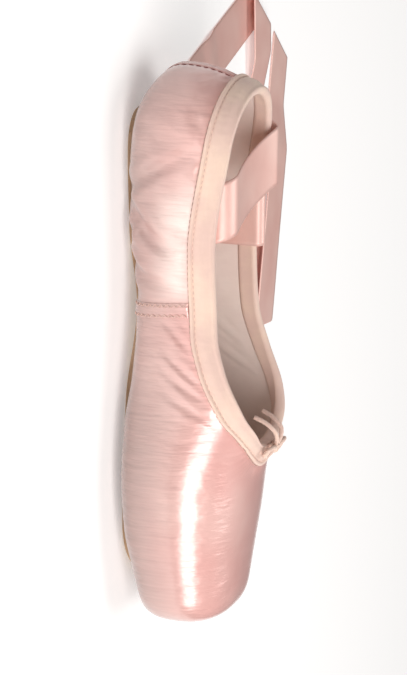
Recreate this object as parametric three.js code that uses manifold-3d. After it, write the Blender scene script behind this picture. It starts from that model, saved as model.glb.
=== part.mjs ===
// Pointe shoe, empty and standing on its sole.
// Millimetres, +Z up, +X to the toe, -Y to the inner side when it is worn on a left foot.
// The origin is on the floor, midway along and across the shoe.
// Everything is worked out on the last: x runs from the back of the heel.
// The shoe group shifts it to the origin.
import * as THREE from "three";
import { mergeVertices } from "three/addons/utils/BufferGeometryUtils.js";
import Module from "manifold-3d";

// Driving dimensions
const LENGTH = 222; // back of the heel to the platform
const BALL_WIDTH = 77;
const INSTEP_HEIGHT = 53.5; // top of the vamp at the throat
const HEEL_HEIGHT = 48; // topline at the back seam
const GAP = 0.3; // between pieces that meet
const QUARTER_WALL = 1.4; // satin, canvas and lining
const BOX_WALL = 2.8; // the same round the stiffened toe box

// Sections of the last, heel to toe. along is a share of LENGTH, width of BALL_WIDTH,
// and widest and crown of INSTEP_HEIGHT. under is the height of the lasted edge in mm.
// low and high are how square the section is below and above its widest line.
const LAST = [
  { along: 0.0, width: 0.687, under: 2.4, widest: 0.375, crown: 1.62, low: 3.2, high: 2.2 },
  { along: 0.14, width: 0.7, under: 2.4, widest: 0.36, crown: 1.68, low: 3.6, high: 2.2 },
  { along: 0.27, width: 0.68, under: 2.7, widest: 0.36, crown: 1.64, low: 3.6, high: 2.2 },
  { along: 0.4, width: 0.672, under: 5.4, widest: 0.39, crown: 1.52, low: 3.6, high: 2.2 },
  { along: 0.53, width: 0.785, under: 4.8, widest: 0.39, crown: 1.3, low: 3.6, high: 2.2 },
  { along: 0.63, width: 0.925, under: 2.7, widest: 0.385, crown: 1.09, low: 3.8, high: 2.25 },
  { along: 0.72, width: 1.0, under: 2.4, widest: 0.385, crown: 0.965, low: 3.8, high: 2.3 },
  { along: 0.81, width: 0.96, under: 2.8, widest: 0.39, crown: 0.915, low: 3.6, high: 2.35 },
  { along: 0.9, width: 0.845, under: 4.8, widest: 0.41, crown: 0.86, low: 3.0, high: 2.4 },
  { along: 1.0, width: 0.69, under: 7.6, widest: 0.45, crown: 0.805, low: 2.6, high: 2.5 },
];
// How far the last's ends take to round off, and how squarely. The toe's is the platform's edge.
const HEEL_PLAN = { reach: 27, square: 2.1 };
const HEEL_UNDER = { reach: 36, square: 2.1 };
const HEEL_LEAN = { reach: 92, square: 2.0 };
const TOE_EDGE = { reach: 15, square: 3.3 };

// Topline seen from the side: along is a share of LENGTH, height of HEEL_HEIGHT.
const TOPLINE = [
  { along: 0.0, height: 1.02 },
  { along: 0.035, height: 1.0 },
  { along: 0.14, height: 0.925 },
  { along: 0.31, height: 0.815 },
  { along: 0.45, height: 0.845 },
  { along: 0.52, height: 0.93 },
  { along: 0.595, height: 1.075 },
  { along: 0.644, height: 1.14 },
  { along: 0.69, height: 1.14 },
  { along: 0.77, height: 1.22 },
];

// Outsole: half is half its width in mm, and tread the height of its underside,
// level under the heel and the forefoot.
const SOLE_FROM = 18;
const SOLE_TO = 206;
const SOLE = [
  { along: 0.0, half: 11.6, tread: 0.5 },
  { along: 0.09, half: 12.2, tread: 0.0 },
  { along: 0.17, half: 12.4, tread: 0.0 },
  { along: 0.28, half: 10.8, tread: 0.0 },
  { along: 0.43, half: 9.8, tread: 3.0 },
  { along: 0.6, half: 14.0, tread: 0.0 },
  { along: 0.72, half: 17.8, tread: 0.0 },
  { along: 0.83, half: 17.4, tread: 0.0 },
  { along: 0.93, half: 14.4, tread: 2.4 },
];
const SOLE_END = { reach: 15, square: 2.2 };
const SOLE_BEVEL = 0.8;
const SOLE_GAP = 0.4; // under the lasted edge
const LASTING_MARGIN = 5; // how far the upper's edge lies in under the sole

const INSOLE_THICK = 2;
const INSOLE_FROM = 16;
const INSOLE_TO = 200;
const INSOLE_END = { reach: 22, square: 2.2 };
const INSOLE_GAP = 1.0; // over the lasted edge
const INSOLE_ROOM = 0.8; // inside the wall

const BINDING_OUTSIDE = 9;
const BINDING_INSIDE = 6;
const BINDING_THICK = 0.7;
const BINDING_PUFF = 1.1; // thickness over the drawstring

const SEAM_THICK = 0.6;
const SEAM_GAP = 0.5; // off the wall, which bends between its own lines
// lean is how far the side seam runs back for each mm down
const SIDE_SEAM = { top: 0.412, lean: -0.08, width: 6, reach: 30 };
const BACK_SEAM = { width: 4.2, reach: 33 };

const RIBBON_WIDTH = 22;
const RIBBON_LENGTH = 500;
const RIBBON_THICK = 0.5;
const RIBBON_SEWN = 22; // length sewn down inside the quarter
const RIBBON_FLOOR = 0.55; // its middle when it lies flat

const RIM_TURN = 164; // how far it has turned, once over the binding, before it falls
const FLOOR_ROUND = 24; // radius where it runs out on to the floor
const FOLD_ROUND = 1.7; // radius of a fold over itself

// Where each ribbon is sewn, from the back of the heel, and where it goes over the outer rim.
// lean is how far it is turned back towards the heel, in degrees.
const INNER_RIBBON = { at: 54, over: 38, lean: 17 };
const OUTER_RIBBON = { at: 64, over: 64, lean: 0 };
// The inner ribbon's way across the opening: it leaves the quarter on a small bend,
// dips by leave degrees and comes up to the far rim at meet degrees.
const CROSSING = { leave: 8, meet: 16, round: 7 };

// Lay of each ribbon on the floor, outwards from the shoe. after is the straight run before a row, in mm.
// over doubles it back on a fold line at slant to its edge.
// drop lets it down off the fold, and bump lifts it in a low wave.
const INNER_LAY = [
  { kind: "bump", after: 14, turn: 8, round: 24, slant: 94 },
  { kind: "over", after: 46, slant: 128 },
  { kind: "drop", after: 18, turn: 12, round: 20, slant: 90 },
  { kind: "bump", after: 20, turn: 9, round: 26, slant: 86 },
  { kind: "over", after: 60, slant: 98 },
  { kind: "drop", after: 76, turn: 10, round: 24, slant: 90 },
];
const OUTER_LAY = [
  { kind: "over", after: 18, slant: 134 },
  { kind: "drop", after: 18, turn: 12, round: 20, slant: 90 },
  { kind: "bump", after: 16, turn: 9, round: 26, slant: 86 },
  { kind: "over", after: 40, slant: 97.5 },
  { kind: "drop", after: 84, turn: 10, round: 24, slant: 90 },
  { kind: "over", after: 10, slant: 97.5 },
  { kind: "drop", after: 84, turn: 10, round: 24, slant: 90 },
];

// Bow of the drawstring on the middle of the throat, in mm from its knot.
// side is outwards, and back is towards the heel.
const CORD_DIAMETER = 1.8;
const KNOT = { side: 2.8, back: 2.3, up: 1.6 };
const BOW_LOOP = [
  { side: 1.2, back: 0.2, up: 0.2 },
  { side: 4.8, back: 1.9, up: 0.9 },
  { side: 9.0, back: 1.7, up: 0.4 },
  { side: 10.4, back: -0.5, up: -0.3 },
  { side: 8.0, back: -2.0, up: -0.3 },
  { side: 4.2, back: -1.3, up: 0.0 },
  { side: 1.2, back: -0.2, up: 0.0 },
];
const BOW_END = [
  { side: 0.8, back: 0.8, up: -0.1 },
  { side: 2.4, back: 4.4, up: 0.1 },
  { side: 3.8, back: 7.6, up: -1.6 },
  { side: 4.6, back: 9.4, up: -6.0 },
  { side: 5.2, back: 9.8, up: -11.0 },
];

const SATIN = { color: 0xe3b3a4, roughness: 0.32, metalness: 0.0 };
const RIBBON_SATIN = { color: 0xdfa898, roughness: 0.3, metalness: 0.0 };
const BINDING_COTTON = { color: 0xf0c6aa, roughness: 0.8, metalness: 0.0 };
const SOLE_LEATHER = { color: 0xc7a27e, roughness: 0.75, metalness: 0.0 };
const INSOLE_COTTON = { color: 0xe9d9c6, roughness: 0.9, metalness: 0.0 };

const radians = THREE.MathUtils.degToRad;

// Numbers from one end to the other in even steps.
function even(count, from, to) {
  return Array.from({ length: count + 1 }, (_, i) => THREE.MathUtils.lerp(from, to, i / count));
}

// Smooth curve through one column of a table, never overshooting a row.
function column(rows, name, scale = 1) {
  const xs = rows.map((row) => row.along);
  const ys = rows.map((row) => row[name] * scale);
  const steps = xs.slice(1).map((x, i) => (ys[i + 1] - ys[i]) / (x - xs[i]));
  const slopes = ys.map((_, i) => {
    const before = steps[Math.max(i - 1, 0)];
    const after = steps[Math.min(i, steps.length - 1)];
    return before * after <= 0 ? 0 : (2 * before * after) / (before + after);
  });
  return (at) => {
    const x = THREE.MathUtils.clamp(at, xs[0], xs[xs.length - 1]);
    let i = 0;
    while (i < steps.length - 1 && x > xs[i + 1]) i += 1;
    const span = xs[i + 1] - xs[i];
    const t = (x - xs[i]) / span;
    const rise = t * t * (3 - 2 * t);
    const lead = t * (1 - t) * (1 - t) * span;
    const trail = t * t * (1 - t) * span;
    return ys[i] * (1 - rise) + ys[i + 1] * rise + slopes[i] * lead - slopes[i + 1] * trail;
  };
}

// Share of full size left at a distance from a rounded end.
function rounded(distance, end) {
  const left = THREE.MathUtils.clamp(1 - distance / end.reach, 0, 1);
  return Math.max((1 - left ** end.square) ** (1 / end.square), 1e-4);
}

const lastWidth = column(LAST, "width", BALL_WIDTH / 2);
const lastUnder = column(LAST, "under");
const lastWidest = column(LAST, "widest", INSTEP_HEIGHT);
const lastCrown = column(LAST, "crown", INSTEP_HEIGHT);
const lastLow = column(LAST, "low");
const lastHigh = column(LAST, "high");
const toplineHeight = column(TOPLINE, "height", HEEL_HEIGHT);
const soleHalf = column(SOLE, "half");
const soleTread = column(SOLE, "tread");

function section(x) {
  const along = x / LENGTH;
  const toe = rounded(LENGTH - x, TOE_EDGE);
  const widest = lastWidest(along);
  return {
    half: lastWidth(along) * rounded(x, HEEL_PLAN) * toe,
    widest,
    below: (widest - lastUnder(along)) * rounded(x, HEEL_UNDER) * toe,
    above: (lastCrown(along) - widest) * rounded(x, HEEL_LEAN) * toe,
    low: lastLow(along),
    high: lastHigh(along),
  };
}

// Below zero inside the last, zero on its surface, above zero outside.
function lastField(point) {
  if (point.x <= 0 || point.x >= LENGTH) return 1e3;
  const cut = section(point.x);
  const up = point.z - cut.widest;
  const square = up > 0 ? cut.high : cut.low;
  const reach = up > 0 ? cut.above : cut.below;
  const value = (Math.abs(point.y) / cut.half) ** square + (Math.abs(up) / reach) ** square;
  return Math.min(value ** (1 / square) - 1, 1e3);
}

function lastNormal(point) {
  const step = 0.02;
  const along = ["x", "y", "z"].map((axis) => {
    const ahead = point.clone();
    const behind = point.clone();
    ahead[axis] += step;
    behind[axis] -= step;
    return lastField(ahead) - lastField(behind);
  });
  return new THREE.Vector3(...along).normalize();
}

function bisect(test, low, high) {
  let inside = low;
  let outside = high;
  for (let i = 0; i < 44; i += 1) {
    const middle = (inside + outside) / 2;
    if (test(middle)) inside = middle;
    else outside = middle;
  }
  return (inside + outside) / 2;
}

// The last's surface along a ray from a hub on the spine. turn is its bearing in plan, tilt its rise.
const HUB_HEIGHT = 20;
function cast(ray, tilt) {
  const hub = new THREE.Vector3(ray.hub, 0, HUB_HEIGHT);
  const way = new THREE.Vector3(
    Math.cos(ray.turn) * Math.cos(tilt),
    Math.sin(ray.turn) * Math.cos(tilt),
    Math.sin(tilt),
  );
  const far = bisect((d) => lastField(hub.clone().addScaledVector(way, d)) < 0, 0, 160);
  return hub.addScaledVector(way, far);
}

function soleHalfAt(x) {
  if (x <= SOLE_FROM || x >= SOLE_TO) return -1;
  return soleHalf(x / LENGTH) * rounded(x - SOLE_FROM, SOLE_END) * rounded(SOLE_TO - x, SOLE_END);
}

function underSole(point) {
  const from = SOLE_FROM + LASTING_MARGIN;
  const to = SOLE_TO - LASTING_MARGIN;
  if (point.x <= from || point.x >= to) return false;
  const half = soleHalf(point.x / LENGTH) - LASTING_MARGIN;
  const end = { reach: SOLE_END.reach - LASTING_MARGIN, square: SOLE_END.square };
  return Math.abs(point.y) < half * rounded(point.x - from, end) * rounded(to - point.x, end);
}

const smoothShare = (x, from, to) => THREE.MathUtils.smoothstep(x, from, to);
const wallAt = (x) => THREE.MathUtils.lerp(QUARTER_WALL, BOX_WALL, smoothShare(x, 118, 165));

// One line of the upper's wall, from the topline down and in to the lasted edge.
// point(arc) is on the outside that many millimetres down from the topline.
function wallLine(ray) {
  const top = bisect((tilt) => {
    const at = cast(ray, tilt);
    return at.z < toplineHeight(at.x / LENGTH);
  }, -0.3, radians(89));
  const edge = bisect((tilt) => !underSole(cast(ray, tilt)), -0.05, radians(-89.9));
  const count = 150;
  const tilts = Array.from({ length: count + 1 }, (_, i) => THREE.MathUtils.lerp(top, edge, i / count));
  const points = tilts.map((tilt) => cast(ray, tilt));
  const arcs = [0];
  const weights = [0];
  const turnWeight = 12;
  for (let i = 1; i <= count; i += 1) {
    const step = points[i].distanceTo(points[i - 1]);
    const before = points[Math.max(i - 2, 0)];
    const bend = i < 2 ? 0 : points[i].clone().sub(points[i - 1]).angleTo(points[i - 1].clone().sub(before));
    arcs.push(arcs[i - 1] + step);
    weights.push(weights[i - 1] + step + turnWeight * bend);
  }
  const lookUp = (keys, values, key) => {
    let i = 1;
    while (i < keys.length - 1 && keys[i] < key) i += 1;
    const share = (key - keys[i - 1]) / (keys[i] - keys[i - 1]);
    return THREE.MathUtils.lerp(values[i - 1], values[i], share);
  };
  const point = (arc) => cast(ray, lookUp(arcs, tilts, arc));
  return {
    length: arcs[count],
    point,
    rise: points[0].clone().sub(points[1]).normalize(),
    // Distances down the wall below a tape's edge, closer together where it bends.
    spread: (from, rows) => {
      const start = lookUp(arcs, weights, from);
      return even(rows, start, weights[count]).map((weight) => lookUp(weights, arcs, weight));
    },
    // Off the wall's outside, and off its lining.
    out: (arc, distance) => {
      const at = point(arc);
      return at.clone().addScaledVector(lastNormal(at), distance);
    },
    inward: (arc, distance) => {
      const at = point(arc);
      return at.clone().addScaledVector(lastNormal(at), -wallAt(at.x) - distance);
    },
  };
}

// Rays round one half of the shoe, from the back seam to the middle of the toe.
const HEEL_HUB = 30;
const TOE_HUB = 146;
function halfRays(heelCount, sideCount, toeCount) {
  const rays = [];
  for (let i = 0; i < heelCount; i += 1) {
    rays.push({ hub: HEEL_HUB, turn: Math.PI * (1 - (0.5 * i) / heelCount) });
  }
  for (let i = 0; i < sideCount; i += 1) {
    rays.push({ hub: THREE.MathUtils.lerp(HEEL_HUB, TOE_HUB, i / sideCount), turn: Math.PI / 2 });
  }
  // Even steps round the toe's outline
  const fine = 120;
  const turns = Array.from({ length: fine + 1 }, (_, i) => (Math.PI / 2) * (1 - i / fine));
  const outline = turns.map((turn) => cast({ hub: TOE_HUB, turn }, 0));
  const arcs = [0];
  for (let i = 1; i <= fine; i += 1) arcs.push(arcs[i - 1] + outline[i].distanceTo(outline[i - 1]));
  for (let i = 0, k = 0; i <= toeCount; i += 1) {
    const want = (arcs[fine] * i) / toeCount;
    while (k < fine - 1 && arcs[k + 1] < want) k += 1;
    const share = (want - arcs[k]) / (arcs[k + 1] - arcs[k]);
    rays.push({ hub: TOE_HUB, turn: THREE.MathUtils.lerp(turns[k], turns[k + 1], share) });
  }
  return rays;
}

// A closed skin over a row of point rings, joined end to end or capped.
function skin(rings, joined) {
  const size = rings[0].length;
  const positions = rings.flat().flatMap((p) => [p.x, p.y, p.z]);
  const index = [];
  const last = joined ? rings.length : rings.length - 1;
  for (let i = 0; i < last; i += 1) {
    const a = i * size;
    const b = ((i + 1) % rings.length) * size;
    for (let j = 0; j < size; j += 1) {
      const k = (j + 1) % size;
      index.push(a + j, b + j, b + k, a + j, b + k, a + k);
    }
  }
  if (!joined) {
    const end = (rings.length - 1) * size;
    for (let j = 1; j < size - 1; j += 1) {
      index.push(0, j, j + 1);
      index.push(end, end + j + 1, end + j);
    }
  }
  let geometry = new THREE.BufferGeometry();
  geometry.setAttribute("position", new THREE.Float32BufferAttribute(positions, 3));
  geometry.setIndex(index);
  geometry = mergeVertices(geometry, 1e-4);
  return facingOut(geometry);
}

// Drops collapsed triangles and turns the skin so that it faces out.
function facingOut(geometry) {
  const at = geometry.getAttribute("position");
  const corner = (i) => new THREE.Vector3().fromBufferAttribute(at, i);
  const kept = [];
  let volume = 0;
  const index = geometry.getIndex().array;
  for (let i = 0; i < index.length; i += 3) {
    const [a, b, c] = [index[i], index[i + 1], index[i + 2]];
    if (a === b || b === c || c === a) continue;
    volume += corner(a).dot(corner(b).cross(corner(c)));
    kept.push(a, b, c);
  }
  if (volume < 0) {
    for (let i = 0; i < kept.length; i += 3) [kept[i], kept[i + 1]] = [kept[i + 1], kept[i]];
  }
  geometry.setIndex(kept);
  geometry.computeVertexNormals();
  return geometry;
}

function mesh(name, geometry, look) {
  const piece = new THREE.Mesh(geometry, new THREE.MeshStandardMaterial(look));
  piece.name = name;
  return piece;
}

const mirrored = (ray) => ({ hub: ray.hub, turn: -ray.turn });
const half = halfRays(8, 18, 18);
// Once round the shoe: inner side from heel to toe, then the outer side back.
const roundRays = [...half.map(mirrored), ...half.slice(1, -1).reverse()];
const wall = roundRays.map(wallLine);

// Upper: outside of the wall down to the lasted edge, then its inside back up to the topline.
function buildUpper() {
  const rings = wall.map((line) => {
    const outside = [0, BINDING_OUTSIDE / 2, ...line.spread(BINDING_OUTSIDE, 13)];
    const inside = [0, ...line.spread(BINDING_INSIDE, 9)].reverse();
    return [...outside.map((arc) => line.point(arc)), ...inside.map((arc) => line.inward(arc, 0))];
  });
  return mesh("upper", skin(rings, true), SATIN);
}

// Binding: one tape folded over the topline, fuller where the drawstring runs in it.
function buildBinding() {
  const rings = wall.map((line) => {
    const top = line.point(0);
    const normal = lastNormal(top);
    const inner = -wallAt(top.x) - GAP;
    const over = (out, up) => top.clone().addScaledVector(normal, out).addScaledVector(line.rise, up);
    const puff = GAP + BINDING_PUFF;
    const thick = GAP + BINDING_THICK;
    return [
      over(GAP, GAP),
      line.out(BINDING_OUTSIDE / 2, GAP),
      line.out(BINDING_OUTSIDE, GAP),
      line.out(BINDING_OUTSIDE, thick),
      line.out(BINDING_OUTSIDE / 2, puff),
      over(puff, 0),
      over(0, puff),
      over(inner * 0.75, puff),
      over(inner - BINDING_THICK, 0),
      line.inward(BINDING_INSIDE, GAP + BINDING_THICK),
      line.inward(BINDING_INSIDE, GAP),
      over(inner, GAP),
    ];
  });
  return mesh("binding", skin(rings, true), BINDING_COTTON);
}

// Bottom of the last at a place in plan.
function lastBottom(x, y) {
  const cut = section(x);
  const share = Math.min(Math.abs(y) / cut.half, 1);
  return cut.widest - cut.below * (1 - share ** cut.low) ** (1 / cut.low);
}

// Stations along a piece, closer together at its rounded ends.
function stations(from, to, count, end) {
  const bunch = even(5, 0, Math.PI / 2).map((a) => end.reach * (1 - Math.cos(a)));
  const middle = even(count, from + end.reach, to - end.reach).slice(1, -1);
  return [...bunch.map((d) => from + d), ...middle, ...bunch.map((d) => to - d).reverse()];
}

function buildOutsole() {
  const across = even(6, -1, 1);
  const rings = stations(SOLE_FROM, SOLE_TO, 24, SOLE_END).map((x) => {
    const halfWidth = Math.max(soleHalfAt(x), 0);
    const narrow = Math.max(halfWidth - SOLE_BEVEL, 0);
    const bottom = soleTread(x / LENGTH);
    const places = across.map((a) => a * halfWidth);
    const top = places.map((y) => new THREE.Vector3(x, y, lastBottom(x, y) - SOLE_GAP));
    const sides = [1, -1].map((a) => new THREE.Vector3(x, a * halfWidth, bottom + SOLE_BEVEL));
    const under = across.toReversed().map((a) => new THREE.Vector3(x, a * narrow, bottom));
    return [...top, sides[0], ...under, sides[1]];
  });
  return mesh("outsole", skin(rings, false), SOLE_LEATHER);
}

// Half width of the space inside the upper at a height, clear of its wall.
function insideHalf(x, z) {
  const clear = (y) => {
    const at = new THREE.Vector3(x, y, z);
    const value = lastField(at);
    if (value >= 0) return false;
    const step = 0.05;
    const slope = ["x", "y", "z"].map((axis) => {
      const ahead = at.clone();
      ahead[axis] += step;
      return (lastField(ahead) - value) / step;
    });
    return -value / Math.hypot(...slope) > wallAt(x) + INSOLE_ROOM;
  };
  return clear(0) ? bisect(clear, 0, BALL_WIDTH / 2) : 0;
}

function buildInsole() {
  const across = even(6, -1, 1);
  const rings = stations(INSOLE_FROM, INSOLE_TO, 20, INSOLE_END).map((x) => {
    const bottom = lastBottom(x, 0) + wallAt(x) + INSOLE_GAP;
    const ends = rounded(x - INSOLE_FROM, INSOLE_END) * rounded(INSOLE_TO - x, INSOLE_END);
    const halfWidth = insideHalf(x, bottom) * ends;
    const top = across.map((a) => new THREE.Vector3(x, a * halfWidth, bottom + INSOLE_THICK));
    const under = across.toReversed().map((a) => new THREE.Vector3(x, a * halfWidth, bottom));
    return [...top, ...under];
  });
  return mesh("insole", skin(rings, false), INSOLE_COTTON);
}

// A raised band down the wall: ray(offset) is the line of the wall that far from its middle.
function seamBand(name, ray, width, reach, lean) {
  const rows = even(8, BINDING_OUTSIDE + 2 * GAP, BINDING_OUTSIDE + 2 * GAP + reach);
  const rings = rows.map((arc) => {
    const back = lean * (arc - BINDING_OUTSIDE);
    const sides = even(2, -width / 2, width / 2).map((offset) => ray(offset - back));
    const lines = sides.map((side) => ({ side, line: wallLine(side) }));
    const close = lines.map(({ line }) => line.out(arc, SEAM_GAP));
    const raised = lines.map(({ line }, i) => line.out(arc, SEAM_GAP + SEAM_THICK * (i === 1 ? 1 : 0.6)));
    return [...close, ...raised.reverse()];
  });
  return mesh(name, skin(rings, false), SATIN);
}

function buildSeams() {
  const seamTop = SIDE_SEAM.top * LENGTH;
  const sideRay = (side) => (offset) => ({ hub: seamTop + offset, turn: (side * Math.PI) / 2 });
  const backRay = (offset) => ({ hub: HEEL_HUB, turn: Math.PI + offset / HEEL_HUB });
  return [
    seamBand("side_seam_inner", sideRay(-1), SIDE_SEAM.width, SIDE_SEAM.reach, SIDE_SEAM.lean),
    seamBand("side_seam_outer", sideRay(1), SIDE_SEAM.width, SIDE_SEAM.reach, SIDE_SEAM.lean),
    seamBand("back_seam", backRay, BACK_SEAM.width, BACK_SEAM.reach, 0),
  ];
}

// The binding's rim where a ribbon goes over it: the ribbon's place inside it,
// its height and half its width.
function rimAt(x) {
  const places = even(4, x - RIBBON_WIDTH / 2, x + RIBBON_WIDTH / 2);
  const lines = places.map((place) => wallLine({ hub: place, turn: Math.PI / 2 }));
  const inside = Math.min(...lines.map((line) => line.inward(0, GAP + BINDING_THICK).y)) - 2 * GAP;
  const outside = Math.max(...lines.map((line) => line.out(BINDING_OUTSIDE, GAP + BINDING_PUFF).y)) + GAP;
  return {
    inside,
    height: Math.max(...lines.map((line) => line.point(0).z)) + 0.4,
    round: (outside - inside) / 2 + RIBBON_THICK / 4,
  };
}

// How a ribbon leaves its quarter: the height it starts to turn at, the way it turns,
// and its turns in degrees.
function overOwnRim(rim) {
  return { height: rim.height, way: 1, turns: [{ turn: RIM_TURN, round: rim.round }] };
}

function acrossOpening(near, far) {
  const [leave, meet] = [radians(CROSSING.leave), radians(CROSSING.meet)];
  const ends = far.round * (1 - Math.sin(meet)) - CROSSING.round * (1 + Math.sin(leave));
  const sag = (near.inside + far.inside + ends) / (Math.sin(leave) + Math.sin(meet));
  const rise = CROSSING.round * Math.cos(leave) + sag * (Math.cos(leave) - Math.cos(meet));
  return {
    height: far.height + far.round * Math.cos(meet) - rise,
    way: -1,
    turns: [
      { turn: -90 - CROSSING.leave, round: CROSSING.round },
      { turn: CROSSING.leave + CROSSING.meet, round: sag },
      { turn: 90 - RIM_TURN - CROSSING.meet, round: far.round },
    ],
  };
}

// Single folds, each a turn round a straight line, that a ribbon comes to from its sewn end.
function ribbonFolds(start, rim, lean, lay) {
  const folds = [];
  let at = RIBBON_SEWN;
  let face = -start.way; // which way the ribbon's own face looks on the floor
  const add = (turn, round, slant) => {
    folds.push({ at, turn: radians(turn), round, slant: radians(slant) });
    at += (round * Math.abs(radians(turn))) / Math.sin(radians(slant));
  };
  const upright = 90 - lean;
  for (const { turn, round } of start.turns) add(turn, round, upright);
  const steep = radians(180 - RIM_TURN);
  const fall = rim.height + rim.round * Math.sin(steep) - RIBBON_FLOOR - FLOOR_ROUND * (1 - Math.sin(steep));
  at += fall / Math.cos(steep) / Math.cos(radians(lean));
  add(start.way * (90 - RIM_TURN), FLOOR_ROUND, upright);
  for (const row of lay) {
    at += row.after;
    if (row.kind === "over") {
      add(180 * face, FOLD_ROUND, row.slant);
      face = -face;
    } else if (row.kind === "drop") {
      const slope = radians(row.turn);
      const curved = 2 * row.round * (1 - Math.cos(slope));
      add(-row.turn * face, row.round, row.slant);
      at += (2 * FOLD_ROUND - curved) / Math.sin(slope);
      add(row.turn * face, row.round, row.slant);
    } else {
      add(row.turn * face, row.round, row.slant);
      at += 3;
      add(-2 * row.turn * face, row.round, row.slant);
      at += 3;
      add(row.turn * face, row.round, row.slant);
    }
  }
  return folds;
}

// Where a point of the flat ribbon goes once every fold is made, the farthest fold first.
function folded(folds, along, across, lift) {
  const point = new THREE.Vector3(along, across, lift);
  for (const fold of folds.toReversed()) {
    const [sin, cos] = [Math.sin(fold.slant), Math.cos(fold.slant)];
    const reached = (along - fold.at) * sin - across * cos;
    if (reached <= 0) continue;
    const side = Math.sign(fold.turn);
    const rolled = fold.round * Math.abs(fold.turn);
    const forward = (point.x - fold.at) * sin - point.y * cos;
    const sideways = (point.x - fold.at) * cos + point.y * sin;
    const turn = side * Math.min(reached / fold.round, Math.abs(fold.turn));
    const past = reached < rolled ? 0 : forward - rolled;
    const ahead = fold.round * Math.sin(Math.abs(turn)) + past * Math.cos(turn) - point.z * Math.sin(turn);
    const up = side * fold.round * (1 - Math.cos(turn)) + past * Math.sin(turn) + point.z * Math.cos(turn);
    point.set(fold.at + ahead * sin + sideways * cos, sideways * sin - ahead * cos, up);
  }
  return point;
}

// Lines across the ribbon: along each fold's own slant, and a few round every fold.
function ribbonRulings(folds) {
  const rulings = [{ at: 0, slant: Math.PI / 2 }];
  for (const fold of folds) {
    const span = (fold.round * Math.abs(fold.turn)) / Math.sin(fold.slant);
    const steps = Math.max(2, Math.ceil(Math.abs(fold.turn) / radians(26)));
    for (const share of even(steps, 0, 1)) rulings.push({ at: fold.at + span * share, slant: fold.slant });
  }
  rulings.push({ at: RIBBON_LENGTH, slant: radians(66) });
  return rulings;
}

// side is -1 for the inner quarter and 1 for the outer.
// near is the rim of that quarter, and far the rim that the ribbon goes over.
function buildRibbon(name, side, ribbon, near, far, start, lay) {
  const folds = ribbonFolds(start, far, ribbon.lean, lay);
  const axis = new THREE.Vector3(0, 0, 1);
  const upright = (point) => point.applyAxisAngle(axis, radians(ribbon.lean));
  const pivot = upright(new THREE.Vector3(RIBBON_SEWN, 0, 0));
  const rings = ribbonRulings(folds).map((ruling) => {
    const corners = [[-1, -1], [1, -1], [1, 1], [-1, 1]];
    return corners.map(([edge, face]) => {
      const across = (edge * RIBBON_WIDTH) / 2;
      const along = ruling.at + across / Math.tan(ruling.slant);
      const at = upright(folded(folds, along, across, (face * RIBBON_THICK) / 2)).sub(pivot);
      return new THREE.Vector3(ribbon.at - at.y, side * (near.inside + at.z), start.height + at.x);
    });
  });
  return mesh(name, skin(rings, false), RIBBON_SATIN);
}

function buildRibbons() {
  const [near, far, outer] = [INNER_RIBBON.at, INNER_RIBBON.over, OUTER_RIBBON.at].map(rimAt);
  return [
    buildRibbon("ribbon_inner", -1, INNER_RIBBON, near, far, acrossOpening(near, far), INNER_LAY),
    buildRibbon("ribbon_outer", 1, OUTER_RIBBON, outer, outer, overOwnRim(outer), OUTER_LAY),
  ];
}

const wasm = await Module();
wasm.setup();

function manifold(geometry) {
  const vertProperties = new Float32Array(geometry.getAttribute("position").array);
  const triVerts = new Uint32Array(geometry.getIndex().array);
  return new wasm.Manifold(new wasm.Mesh({ numProp: 3, vertProperties, triVerts }));
}

// A round cord along a smooth path.
function cord(points, steps) {
  const path = new THREE.CatmullRomCurve3(points);
  const frames = path.computeFrenetFrames(steps, false);
  const rings = even(steps, 0, 1).map((share, i) => {
    const middle = path.getPointAt(share);
    return even(8, 0, 2 * Math.PI).slice(0, -1).map((angle) => middle.clone()
      .addScaledVector(frames.normals[i], (Math.cos(angle) * CORD_DIAMETER) / 2)
      .addScaledVector(frames.binormals[i], (Math.sin(angle) * CORD_DIAMETER) / 2));
  });
  return skin(rings, false);
}

// The drawstring's knot, two loops and two ends, tied in one.
function buildBow() {
  const line = wallLine({ hub: TOE_HUB, turn: 0 });
  const rim = line.point(0);
  const up = lastNormal(rim);
  const knot = rim.clone().addScaledVector(up, 2 * GAP + BINDING_PUFF + KNOT.up);
  const place = (side) => (row) => knot.clone()
    .addScaledVector(new THREE.Vector3(0, side, 0), row.side)
    .addScaledVector(line.rise, row.back)
    .addScaledVector(up, row.up);
  const sphere = new THREE.SphereGeometry(1, 12, 8).deleteAttribute("normal").deleteAttribute("uv");
  const ball = mergeVertices(sphere, 1e-4);
  ball.scale(KNOT.back, KNOT.side, KNOT.up).rotateY(Math.atan2(line.rise.z, -line.rise.x));
  ball.translate(knot.x, knot.y, knot.z);
  let bow = manifold(facingOut(ball));
  for (const side of [-1, 1]) {
    bow = bow.add(manifold(cord(BOW_LOOP.map(place(side)), 11)));
    bow = bow.add(manifold(cord(BOW_END.map(place(side)), 6)));
  }
  const joined = bow.getMesh();
  const geometry = new THREE.BufferGeometry();
  geometry.setAttribute("position", new THREE.Float32BufferAttribute(joined.vertProperties, 3));
  geometry.setIndex(Array.from(joined.triVerts));
  geometry.computeVertexNormals();
  return mesh("drawstring_bow", geometry, BINDING_COTTON);
}

const shoe = new THREE.Group();
shoe.position.x = -LENGTH / 2;
shoe.add(buildUpper(), buildOutsole(), buildInsole(), buildBinding(), ...buildSeams());
shoe.add(buildBow(), ...buildRibbons());
const group = new THREE.Group();
group.add(shoe);
export default group;
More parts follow.
